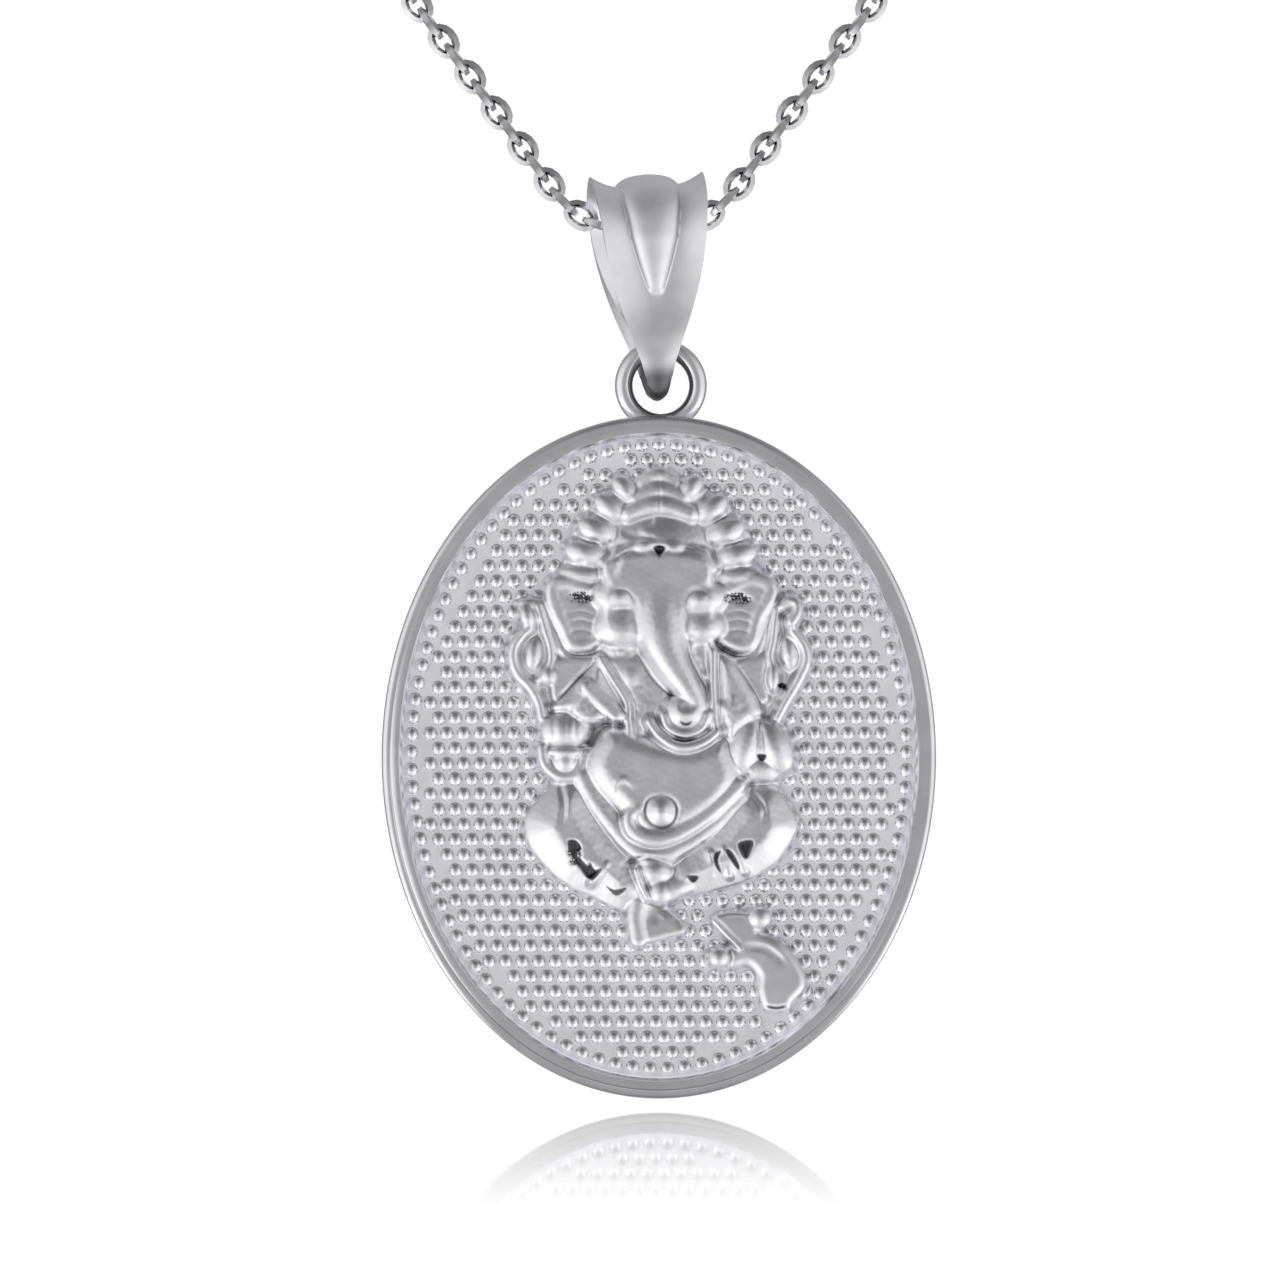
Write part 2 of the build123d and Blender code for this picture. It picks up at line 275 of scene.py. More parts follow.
def new_object(name, data):
    made = bpy.data.objects.new(name, data)
    bpy.context.collection.objects.link(made)
    return made


def new_mesh(name, verts, edges=(), faces=()):
    mesh = bpy.data.meshes.new(name)
    mesh.from_pydata(verts, edges, faces)
    return mesh


def mesh_piece(name, verts, faces, material, crease_angle=30.0):
    """A smooth shaded object with its place in its mesh, sharp where faces meet at an angle."""
    mesh = new_mesh(name, verts, faces=faces)
    mesh.update()
    mesh.shade_smooth()
    mesh.set_sharp_from_angle(angle=math.radians(crease_angle))
    mesh.materials.append(material)
    return new_object(name, mesh)


def hand_over(piece, body, slot, *nodes):
    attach(piece, body)
    if nodes:
        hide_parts(*nodes)


def circle(count):
    """Points spaced evenly round a circle of radius 1."""
    turns = (math.tau * i / count for i in range(count))
    return [(math.cos(turn), math.sin(turn)) for turn in turns]


def grid_faces(rows, columns, start=0, close_rows=False, close_columns=False):
    """Quads of a grid of vertices, listed row by row."""
    faces = []
    for row in range(rows if close_rows else rows - 1):
        here, after = start + row * columns, start + (row + 1) % rows * columns
        for a in range(columns if close_columns else columns - 1):
            b = (a + 1) % columns
            faces.append((here + a, here + b, after + b, after + a))
    return faces


def lathe(profile, count, axis, across):
    """Vertices and faces of a closed form turned about an axis. Its profile is place and radius."""
    up = axis.cross(across)
    verts = [
        axis * place + (across * c + up * s) * radius
        for place, radius in profile
        for c, s in circle(count)
    ]
    faces = grid_faces(len(profile), count, close_columns=True)
    faces += [tuple(range(count)), tuple(range(len(verts) - count, len(verts)))]
    return verts, faces


def torus(centre, across, up, radius, wire_radius, around=72, sides=20):
    """Vertices and faces of a ring in the plane of two unit vectors."""
    axis = across.cross(up)
    verts = []
    for c, s in circle(around):
        way = across * c + up * s
        for out, over in circle(sides):
            place = centre + way * (radius + wire_radius * out)
            verts.append(place + axis * (wire_radius * over))
    return verts, grid_faces(around, sides, close_rows=True, close_columns=True)


def join(verts, faces, more, more_faces):
    """Adds the vertices and faces of one form to those of another."""
    faces += [tuple(i + len(verts) for i in face) for face in more_faces]
    verts += more


def quarter_round(radius, steps):
    """Inset and drop along a quarter round, from its side to its top."""
    turns = (math.pi / 2 * i / steps for i in range(steps + 1))
    return [(radius * (1 - math.cos(turn)), radius * (1 - math.sin(turn))) for turn in turns]


def outward(piece):
    """Turns a piece's faces outwards."""
    mesh = bmesh.new()
    mesh.from_mesh(piece.data)
    bmesh.ops.recalc_face_normals(mesh, faces=mesh.faces)
    mesh.to_mesh(piece.data)
    mesh.free()


def point_values(mesh, name, values):
    layer = mesh.attributes.new(name, "FLOAT", "POINT")
    layer.data.foreach_set("value", np.array(values, np.float32))


def smooth_share(value, start, end):
    """A smooth rise from 0 to 1 while the value goes from start to end."""
    t = min(max((value - start) / (end - start), 0.0), 1.0)
    return t * t * (3 - 2 * t)


def medallion_place():
    """The middle of the medallion's ground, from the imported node's box."""
    medal = bpy.context.scene.medallion_sizes
    low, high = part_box("medallion")
    ground = high[1] - (medal.thickness - medal.ground_depth)
    return Vector(((low[0] + high[0]) / 2, ground, low[2] + medal.height / 2))


def hanging_plane():
    """The plane in which the chain, the bail and the ring hang."""
    low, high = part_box("bail")
    return (low[1] + high[1]) / 2


# Relief: heights on the layout grid, in steps

SUNK = -3.0  # the level at which a relief is cut off, below the ground
WALL_SLOPE = 3.5
REACH = 9  # how far a form's wall is worked out round it
SWELL = 0.6  # how far a rounded form rises over each step of its half width
LINE_STEPS = 4  # points for each run of a smooth line
# The darkness of sunk places, grooves and holes is painted shade.
SINK_DARK = 0.7  # how dark a dark sunk place is at its outline
GROOVE_END = 0.35  # share of a groove's depth that is left at its ends
GROOVE_RUN = 0.2  # share of a groove's length over which it runs out
# painted shade in hollows: how far round each place its surroundings reach, the depth below them
# that gives full shade, and the most that depth alone gives
RECESS_REACH, RECESS_DEPTH, RECESS_MOST = 3.0, 5.0, 0.65


def soft_max(a, b, blend):
    """The higher of two fields, with a soft hollow where they meet."""
    meet = np.clip(blend - np.abs(a - b), 0, None)
    return np.maximum(a, b) + meet * meet / (4 * blend)


def rounded(points, closed):
    """A smooth line through some points."""
    pts = np.array(points, float)
    if closed:
        before, after, beyond = (np.roll(pts, turn, axis=0) for turn in (1, -1, -2))
    else:
        before = np.concatenate((pts[:1], pts[:-2]))
        after = pts[1:]
        beyond = np.concatenate((pts[2:], pts[-1:]))
    start = pts if closed else pts[:-1]
    t = (np.arange(LINE_STEPS) / LINE_STEPS)[None, :, None]
    before, start, after, beyond = (p[:, None, :] for p in (before, start, after, beyond))
    line = start + t / 2 * (after - before)
    line = line + t**2 / 2 * (2 * before - 5 * start + 4 * after - beyond)
    line = line + t**3 / 2 * (3 * start - before - 3 * after + beyond)
    line = line.reshape(-1, pts.shape[1])
    return line if closed else np.concatenate((line, pts[-1:]))


def spread(values, count):
    """Values given at even places along a line, one for each of its points."""
    values = np.atleast_1d(values)
    return np.interp(np.linspace(0, 1, count), np.linspace(0, 1, len(values)), values)


class Relief:
    """A field of heights above the ground, built up from rounded forms and hollows."""

    def __init__(self, low, high, pitch):
        self.low, self.pitch = np.array(low, float), pitch
        self.x, self.y = np.meshgrid(
            *(np.arange(start, end + pitch / 2, pitch) for start, end in zip(low, high))
        )
        self.h = np.full(self.x.shape, 2 * SUNK)
        # shares of painted shade, given to sunk places, grooves and holes
        self.dark = np.zeros(self.x.shape)

    def near(self, points, margin):
        """The part of the grid round some points."""
        points = np.atleast_2d(points)[:, :2]
        low = np.floor((points.min(axis=0) - margin - self.low) / self.pitch).astype(int).clip(0)
        high = np.ceil((points.max(axis=0) + margin - self.low) / self.pitch).astype(int).clip(0)
        return slice(low[1], high[1] + 1), slice(low[0], high[0] + 1)

    def along(self, line, where):
        """Distance to a line, its other columns at the nearest point, and the way along it."""
        x, y = self.x[where], self.y[where]
        runs = np.diff(line, axis=0)
        lengths = np.hypot(runs[:, 0], runs[:, 1])
        best = np.full(x.shape, np.inf)
        columns = np.zeros(x.shape + (line.shape[1] - 1,))
        start = 0.0
        for a, run, size in zip(line, runs, lengths):
            if size == 0:
                continue
            t = np.clip(((x - a[0]) * run[0] + (y - a[1]) * run[1]) / size**2, 0, 1)
            d = np.hypot(x - a[0] - t * run[0], y - a[1] - t * run[1])
            closer = d < best
            best[closer] = d[closer]
            columns[closer, :-1] = a[2:] + t[closer, None] * run[2:]
            columns[closer, -1] = (start + t[closer] * size) / lengths.sum()
            start += size
        return best, columns

    def depth_in(self, outline, where):
        """Distance to a closed outline, negative outside it."""
        x, y = self.x[where], self.y[where]
        closed = np.concatenate((outline, outline[:1]))
        distance = self.along(closed, where)[0]
        inner = np.zeros(x.shape, bool)
        for a, b in zip(closed, closed[1:]):
            if a[1] != b[1]:
                crosses = (a[1] > y) != (b[1] > y)
                inner ^= crosses & (x < a[0] + (y - a[1]) * (b[0] - a[0]) / (b[1] - a[1]))
        return np.where(inner, distance, -distance)

    def polar(self, x, y, across, up, where, turn=0.0):
        """Distance from a middle, as a share of an ellipse's size."""
        c, s = math.cos(math.radians(turn)), math.sin(math.radians(turn))
        dx, dy = self.x[where] - x, self.y[where] - y
        return np.hypot((c * dx + s * dy) / across, (c * dy - s * dx) / up)

    def mound(self, x, y, across, up, level, base=0.0, turn=0.0, blend=2.0):
        """A rounded oval form, from its base to its level."""
        where = self.near((x, y), max(across, up) + REACH)
        r = self.polar(x, y, across, up, where, turn)
        base = max(base, level - SWELL * min(across, up))
        h = base + (level - base) * np.clip(1 - r * r, 0, None)
        h -= WALL_SLOPE * min(across, up) * np.clip(r - 1, 0, None)
        self.h[where] = soft_max(self.h[where], h, blend)

    def pit(self, x, y, across, up, depth, turn=0.0):
        """A soft oval hollow."""
        where = self.near((x, y), max(across, up) + 2)
        r = self.polar(x, y, across, up, where, turn)
        self.h[where] -= depth * np.clip(1 - r * r, 0, None) ** 1.5

    def pad(self, outline, level, bevel, base=0.0, curve=2.0, blend=1.5):
        """A flat form with a round bevel."""
        outline = rounded(outline, True)
        where = self.near(outline, REACH)
        d = self.depth_in(outline, where)
        t = np.clip(d / bevel, 0, 1)
        base = max(base, level - SWELL * bevel)
        h = base + (level - base) * (1 - (1 - t) ** curve) + WALL_SLOPE * np.minimum(d, 0)
        self.h[where] = soft_max(self.h[where], h, blend)

    def sink(self, outline, depth, bevel, dark=0.0):
        """A sunk place with a soft wall, and how much painted shade it holds."""
        outline = rounded(outline, True)
        where = self.near(outline, 3)
        d = self.depth_in(outline, where)
        t = np.clip(d / bevel, 0, 1)
        self.h[where] -= depth * t * t * (3 - 2 * t)
        self.dark[where] += dark * np.clip(SINK_DARK + d / 2, 0, 1)

    def roll(self, line, width=None, level=None, blend=1.5, flat=0.5, power=2):
        """A rounded cord. Its half widths and levels are given with its points or along it."""
        line = np.array(line, float)
        if width is not None:
            line = np.column_stack((line, spread(width, len(line)), spread(level, len(line))))
        line = rounded(line, False)
        where = self.near(line, line[:, 2].max() + REACH)
        d, columns = self.along(line, where)
        half, top = columns[..., 0], columns[..., 1]
        r = d / half
        h = top - flat * half * np.minimum(r, 1) ** power
        h -= WALL_SLOPE * half * np.clip(r - 1, 0, None)
        self.h[where] = soft_max(self.h[where], h, blend)

    def groove(self, line, width, depth, dark=0.0):
        """A groove that runs out at its ends, and how much painted shade it holds."""
        line = rounded(line, False)
        where = self.near(line, width + 2)
        d, columns = self.along(line, where)
        way = columns[..., -1]
        full = np.clip(np.minimum(way, 1 - way) / GROOVE_RUN, 0, 1)
        cut = (GROOVE_END + (1 - GROOVE_END) * full) * np.clip(1 - (d / width) ** 2, 0, None)
        self.h[where] -= depth * cut
        self.dark[where] += dark * cut

    def waves(self, where, size, across, along, x=0.0, y=0.0):
        """Two waves of some size, each bent by the other: by how much, how fast and from where."""
        turn = math.tau / size
        u, v = (self.x[where] - x) * turn, (self.y[where] - y) * turn
        bend, pace, start = across
        first = np.sin(u + bend * np.sin(pace * v + start))
        own_pace, bend, pace, start = along
        return first, np.sin(own_pace * v + bend * np.sin(pace * u + start))

    def rough(self, x, y, across, up, depth, size):
        """Small uneven lumps, as the casting has on cloth and ornaments."""
        where = self.near((x, y), max(across, up) + 1)
        fade = np.sqrt(np.clip(1 - self.polar(x, y, across, up, where) ** 2, 0, 1))
        first, second = self.waves(where, size, (1.3, 0.53, 0.4), (0.9, 1.6, 0.61, 0), x, y)
        self.h[where] += depth * fade * first * second

    def speckle(self, x, y, across, up, size=6.5, depth=3.0, dark=1.3):
        """Small deep holes left by the casting, darkened with painted shade."""
        where = self.near((x, y), max(across, up) + 1)
        fade = np.clip(1 - self.polar(x, y, across, up, where) ** 2, 0, 1)
        first, second = self.waves(where, size, (1.7, 0.7, 0), (1.2, 1.9, 0.8, 1), x, y)
        holes = np.clip(1.6 * (first * second + 0.45) * fade, 0, 1)
        self.h[where] -= depth * holes
        self.dark[where] += dark * holes

    def blurred(self, sigma):
        """The heights, softened over some steps."""
        reach = int(3 * sigma / self.pitch) + 1
        weights = np.exp(-0.5 * (np.arange(-reach, reach + 1) * self.pitch / sigma) ** 2)
        h = self.h
        for axis in (0, 1):
            room = [(reach, reach) if side == axis else (0, 0) for side in (0, 1)]
            wide = np.pad(h, room, mode="edge")
            size = h.shape[axis]
            shifted = (np.take(wide, range(i, i + size), axis) for i in range(len(weights)))
            h = sum(w * part for w, part in zip(weights / weights.sum(), shifted))
        return h

    def soften(self, sigma):
        self.h = self.blurred(sigma)

    def uneven(self, depth, size):
        """The slow, slight unevenness of a cast surface."""
        first, second = self.waves(..., size, (1.9, 0.37, 1), (0.83, 1.7, 0.41, 0))
        self.h += depth / 2 * (first + second)

    def recess(self):
        """The share of painted shade at each place, from 0 to 1: how deep it lies below its
        surroundings, and the shade given to it.
        """
        depth = (np.maximum(self.blurred(RECESS_REACH), 0) - self.h) / RECESS_DEPTH
        return np.clip(np.clip(depth, 0, RECESS_MOST) + self.dark, 0, 1)


# The figure and the mouse. Places are steps to the right and down from the medallion's middle.

# A dark share given to a sink, a groove or a speckle is painted shade in that hollow.
BEAD_START = (-186.5, 174)
SILHOUETTE = (
    (-2, -290), (-21, -279), (-41, -272), (-62, -256), (-82, -232), (-95, -208), (-97, -188),
    (-115, -177), (-114, -160), (-130, -157), (-141, -151), (-138, -130), (-148, -114),
    (-148, -97), (-134, -70), (-120, -42), (-122, -30), (-121, -6), (-116, 12), (-106, 26),
    (-126, 49), (-135, 71), (-129, 92), (-112, 111), (-89, 131), (-69, 139), (-31, 153),
    (-32, 182), (-9, 186), (25, 178), (29, 167), (13, 148), (55, 136), (88, 125), (110, 111),
    (128, 90), (138, 68), (132, 46), (119, 30), (131, 8), (131, -6), (119, -26), (123, -42),
    (136, -68), (152, -98), (148, -117), (136, -130), (142, -145), (133, -159), (120, -155),
    (121, -173), (98, -189), (98, -208), (85, -233), (66, -255), (47, -268), (28, -277),
)
MOUSE = (
    (54, 161), (65, 155), (89, 154), (100, 149), (111, 154), (111, 165), (101, 173), (122, 183),
    (137, 200), (147, 219), (146, 232), (135, 244), (129, 253), (106, 253), (98, 234), (98, 219),
    (89, 208), (75, 211), (60, 210), (51, 200), (56, 191), (67, 189), (76, 189), (66, 178),
)


def moved(points, right, down):
    return [(p[0] + right, p[1] + down, *p[2:]) for p in points]


def crown(r):
    body = (
        (-2, -287), (-19, -277), (-37, -269), (-56, -254), (-74, -233), (-86, -210), (-91, -187),
        (-74, -175), (-53, -177), (0, -195), (53, -177), (76, -175), (94, -187), (91, -210),
        (79, -233), (63, -251), (41, -267), (17, -277),
    )
    r.pad(body, 12, 8, base=5)
    # tiers, from the lowest to the top
    tiers = (
        ([(-30, -242), (-16, -248), (0, -251), (16, -248), (31, -242)], 9.5, 22),
        ([(-23, -258), (-12, -263), (0, -266), (12, -263), (23, -258)], 8.5, 19),
        ([(-17, -272), (-9, -278), (0, -281), (9, -278), (17, -272)], 8, 16),
    )
    for line, thick, level in tiers:
        widths, levels = (thick - 1, thick, thick - 1), (level - 2, level, level - 2)
        r.roll(line, widths, levels, blend=1, flat=0.55)
    r.groove([(-1, -283), (0, -267), (0, -243)], 3.5, 1.2)
    # lobes beside them: middle, length and thickness, turn, level
    lobes = (
        (-33, -266, 17, 11, 46, 18), (-48, -248, 19, 12.5, 36, 20), (-62, -226, 20, 13, 24, 22),
        (-73, -203, 21, 13, 13, 22), (-75, -182, 23, 9.5, 5, 18), (31, -267, 16, 11, -46, 18),
        (52, -247, 19, 12.5, -36, 20), (67, -224, 20, 13, -25, 22), (77, -201, 21, 13, -13, 22),
        (77, -181, 23, 9.5, -5, 18),
    )
    for x, y, along, thick, turn, level in lobes:
        r.mound(x, y, along, thick, level, turn=turn, blend=0.3)
    for x, y in ((-63, -216), (-77, -195), (66, -214), (80, -191)):
        r.pit(x, y, 6, 3, 2.5)
    # the cap with its fold
    r.mound(1, -203, 50, 39, 27, base=13, blend=2)
    fold = (
        (-39, -222), (-29, -235), (-4, -240), (-5, -230), (-16, -225), (5, -217), (-21, -214),
    )
    r.sink(fold, 2.2, 5)


def face(r):
    head = (
        (-47, -200), (-24, -206), (25, -206), (47, -200), (55, -172), (56, -142), (43, -125),
        (25, -115), (17, -97), (-4, -97), (-17, -113), (-34, -119), (-53, -124), (-57, -151),
        (-54, -179),
    )
    r.pad(head, 26, 7, base=10)
    brow = (
        (-53, -197), (-19, -205), (23, -205), (50, -197), (54, -179), (47, -167), (33, -163),
        (27, -151), (27, -123), (5, -107), (-21, -123), (-24, -151), (-31, -162), (-47, -166),
        (-55, -179),
    )
    r.pad(brow, 28.5, 7, curve=1.6, blend=4)
    r.sink(((-55, -201), (-33, -207), (-40, -178), (-56, -173)), 2.5, 9)
    for x, y, across, up, turn in ((-38, -131, 25, 19, 8), (44, -132, 21, 16, -8)):
        r.mound(x, y + 3, across, up, 30, turn=turn, blend=5)
    trunk = [
        (0, -179, 34, 24), (1, -163, 33, 28), (1, -143, 31, 33), (3, -121, 28, 37.5),
        (12, -97, 21, 38), (23, -79, 17, 37), (33, -63, 13, 35), (40, -51, 10, 32),
    ]
    r.roll(trunk, blend=5, flat=0.8, power=2.5)
    # the band round the brow and its jewel
    r.roll([(-50, -189), (-44, -201), (-26, -209)], 4, 25, blend=1)
    r.roll([(26, -208), (45, -202), (55, -188)], 4, 25, blend=1)
    for x, y, turn in ((-14, -210, -8), (14, -209, 8)):
        r.mound(x, y, 11, 6.5, 29, base=20, turn=turn, blend=1)
    r.sink(((-6, -210), (7, -210), (0.5, -199)), 5, 3, dark=0.6)
    r.groove([(24, -209), (38, -206)], 2, 2, dark=0.5)
    r.groove([(-44, -196), (-29, -206)], 1.8, 2, dark=0.3)
    # eyes under their lids, and the cheeks
    for x, y, turn in ((-41, -163, 10), (42, -161, -10)):
        r.mound(x, y + 4, 24, 16, 30.5, turn=turn, blend=5)
        r.mound(x + turn / 5, y + 4, 10, 7, 31.5, turn=turn, blend=2)
    lids = (
        [(-51, -159), (-43, -166), (-32, -165), (-25, -155)],
        [(26, -153), (33, -163), (43, -165), (52, -158)],
    )
    for line in lids:
        r.groove(line, 1.8, 1.2, dark=0.35)
    r.pit(-36, -148, 13, 4.5, 3)
    r.mound(-38, -106, 22, 13, 19, base=6, blend=3)
    r.rough(-38, -106, 18, 10, 0.7, 9)
    tusk = (
        (26, -115), (39, -125), (53, -123), (55, -99), (52, -69), (43, -78), (34, -91), (29, -103),
    )
    r.pad(tusk, 23, 5, base=8)
    r.sink(((32, -111), (49, -115), (50, -79), (39, -92)), 3, 5)
    r.rough(42, -101, 10, 18, 0.7, 8)


def trunk_tip(r):
    r.mound(27, -45, 22, 18, 36, base=20, blend=1.5)
    r.pit(28, -50, 10, 7, 3.5)
    r.sink(((21, -36), (27, -34), (33, -36), (30, -32), (24, -32)), 3, 2, dark=0.8)
    r.roll([(5, -42), (10, -30), (26, -23), (42, -29), (48, -42)], 5, 31, blend=1)
    curl = [(-10, -36), (1, -21), (21, -10), (43, -14), (58, -25)]
    r.roll(curl, (4, 5, 4), (31, 34, 31), blend=1)
    r.groove([(12, -19), (25, -16), (37, -19)], 1.8, 2, dark=0.6)
    r.rough(-15, -35, 15, 20, 0.6, 8)


def ears(r):
    left_ear = (
        (-114, -167), (-110, -177), (-99, -182), (-82, -180), (-59, -170), (-49, -157),
        (-48, -137), (-52, -121), (-62, -109), (-76, -104), (-91, -107), (-99, -123), (-108, -141),
        (-113, -154),
    )
    left_dish = (
        (-105, -167), (-97, -173), (-79, -169), (-60, -158), (-56, -142), (-60, -125), (-69, -114),
        (-82, -112), (-90, -123), (-98, -144),
    )
    right_ear = (
        (120, -165), (114, -178), (98, -186), (80, -184), (62, -175), (52, -160), (51, -142),
        (53, -125), (63, -111), (79, -104), (93, -106), (100, -116), (105, -136), (116, -153),
    )
    right_dish = (
        (111, -167), (105, -174), (90, -176), (73, -168), (61, -156), (60, -130), (69, -116),
        (81, -112), (92, -121), (97, -141),
    )
    for ear, dish in ((left_ear, left_dish), (right_ear, right_dish)):
        r.pad(ear, 16, 7, base=4)
        r.sink(dish, 1.6, 7)
    r.speckle(-78, -159, 15, 7)
    r.speckle(79, -158, 17, 7)
    for right in (-168, -11):
        for down in (0, 9, 19):
            r.groove(moved([(78, -142), (90, -145), (104, -141)], right, down), 1.8, 0.8, dark=0.35)
    hems = (
        [(-112, -151), (-105, -129), (-99, -111), (-91, -101)],
        [(-92, -100), (-75, -96), (-60, -101), (-51, -111)],
        [(117, -150), (107, -135), (102, -117), (97, -104), (86, -96), (74, -95)],
    )
    for line in hems:
        r.roll(line, 5, 12, flat=0.6)


def back_arms(r):
    arm = (
        (-116, -39), (-120, -56), (-128, -70), (-140, -83), (-145, -97), (-144, -110),
        (-136, -122), (-129, -128),
    )
    r.roll(arm, (6.5, 7, 5.5), (15, 17), flat=0.75)
    r.mound(-128, -153, 12, 6, 14, base=5)
    r.mound(-131, -140, 8, 11, 20, base=6, turn=-20)
    r.roll([(-120, -151), (-113, -127), (-107, -105), (-109, -90), (-118, -77)], 5, 14, flat=0.7)
    r.mound(-125, -102, 10, 17, 15, base=6, turn=8)
    r.rough(-125, -102, 9, 15, 0.45, 8)
    sleeve = ((-105, -97), (-84, -101), (-62, -99), (-81, -76), (-102, -55), (-109, -67))
    r.pad(sleeve, 13, 6, base=3)
    r.rough(-92, -83, 14, 14, 0.23, 9)
    r.mound(-110, -81, 8, 9, 17, base=8, turn=-30)
    arm = [(118, -39), (127, -56), (139, -77), (147, -96), (144, -111), (133, -126)]
    r.roll(arm, (6, 7, 5.5), (15, 17), flat=0.75)
    r.roll([(124, -150), (130, -156), (137, -153), (138, -144), (132, -135)], (4, 6), (17, 21))
    r.roll([(117, -148), (114, -117), (111, -99), (117, -77)], 5, 14, flat=0.7)
    r.mound(130, -104, 10, 18, 15, base=6, turn=-8)
    r.rough(130, -104, 9, 16, 0.45, 8)
    sleeve = ((74, -95), (96, -101), (109, -104), (107, -77), (111, -57), (99, -53), (87, -69))
    r.pad(sleeve, 13, 6, base=3)
    r.rough(94, -83, 12, 14, 0.23, 9)
    r.mound(114, -79, 7, 13, 18, base=8)
    r.sink(((119, -73), (125, -73), (125, -69), (119, -70)), 3, 2, dark=0.8)


def chest(r):
    side = ((-57, -99), (-19, -103), (13, -73), (9, -45), (-9, -19), (-31, -17), (-33, -57))
    r.pad(side, 19, 12, base=6)
    r.mound(-27, -81, 16, 16, 21, blend=4)
    r.rough(-17, -57, 18, 26, 0.6, 9)
    r.pad(((41, -102), (57, -102), (58, -22), (41, -17), (31, -22)), 20, 8, base=6)
    r.roll([(-58, -98), (-45, -77), (-32, -55), (-30, -35), (-29, -14)], 4, (22, 25), flat=0.35)
    r.roll([(54, -105), (54, -67), (57, -24)], 3.5, (24, 29), flat=0.35)


def front_arms(r):
    left_arm = (
        (-59, -100), (-46, -76), (-34, -53), (-38, -39), (-59, -34), (-85, -39), (-108, -49),
        (-91, -65), (-74, -84),
    )
    r.pad(left_arm, 23, 17, base=6)
    r.roll([(-72, -70), (-59, -56), (-43, -42)], 7, 28, blend=1, flat=0.4)
    r.pad(((-72, -67), (-59, -52), (-53, -39), (-69, -33), (-85, -41), (-87, -53)), 26, 8)
    r.rough(-69, -48, 15, 13, 0.8, 8)
    r.mound(-43, -41, 10, 6, 27, base=16, turn=10)
    # the hand round its bowl
    r.mound(-93, -26, 25, 18, 27, base=14, blend=0.5)
    for right in (0, 11, 22):
        r.groove(moved([(-104, -42), (-105, -28), (-104, -15)], right, 0), 2, 1.2, dark=0.3)
    r.roll([(-116, -9), (-113, 7), (-98, 19), (-81, 15), (-72, -5)], 6, 18)
    r.mound(-93, 4, 14, 14, 22, blend=0.5)
    r.mound(-93, -5, 15, 6, 23, blend=0.5)
    r.groove([(-116, -10), (-94, -12), (-70, -9)], 2, 1.6, dark=0.3)
    right_arm = (
        (57, -102), (75, -97), (89, -77), (99, -59), (104, -43), (86, -29), (63, -33), (57, -57),
    )
    r.pad(right_arm, 23, 15, base=6)
    diamond = (
        (73, -66), (85, -55), (96, -41), (83, -28), (71, -14), (63, -31), (57, -51), (65, -58),
    )
    r.pad(diamond, 27, 12, base=14)
    r.rough(76, -41, 15, 20, 0.8, 8)
    r.mound(86, -11, 17, 29, 29, turn=22, blend=0.6)
    r.mound(115, -10, 17, 27, 29, turn=-30, blend=0.6)
    r.mound(101, 11, 24, 15, 22, blend=1)
    r.groove([(98, -39), (101, -21), (103, -5)], 3.5, 2.5)
    r.sink(((98, -2), (107, -2), (103, 4)), 3, 3, dark=0.9)
    r.rough(91, 13, 16, 10, 0.7, 8)


def belly(r):
    outline = (
        (-47, -29), (-19, -21), (31, -11), (63, -20), (76, 0), (80, 26), (61, 52), (33, 72),
        (-1, 81), (-23, 73), (-43, 51), (-62, 31), (-71, 9), (-63, -13),
    )
    r.pad(outline, 31, 20, base=5)
    r.roll([(-45, 32), (-41, 24), (-33, 22), (-25, 29)], (2, 4, 2), (31, 33.5, 32), blend=1)
    ring = [(2, 38), (-10, 42), (-14, 55), (-8, 66), (3, 70), (14, 65), (18, 52), (13, 42)]
    r.groove(ring + ring[:1], 2.6, 2, dark=0.6)
    r.mound(2, 53.5, 13.5, 13.5, 37, base=24, blend=0.5)
    belt = [
        (-22, 51), (-30, 59), (-27, 72), (-14, 80), (3, 81), (24, 73), (47, 58), (65, 42),
        (80, 28),
    ]
    r.roll(belt, (5, 8, 7), (32, 31, 27), blend=0.8, flat=0.35)
    r.groove([(-31, 69), (-19, 86), (3, 89), (29, 80), (54, 63)], 1.6, 1.2, dark=0.25)


def garment(r):
    hem = (
        (-61, 41), (-25, 79), (31, 81), (77, 31), (84, 33), (57, 65), (9, 111), (-19, 103),
    )
    r.pad(hem, 20, 4)
    r.roll([(-75, 21), (-62, 44), (-47, 65), (-30, 85), (-11, 99)], 9.5, (20, 25), flat=0.4)
    r.rough(-51, 61, 22, 34, 0.4, 9)
    r.roll([(79, 41), (55, 65), (32, 82), (9, 94), (-9, 99)], 9.5, (23, 26), flat=0.4)


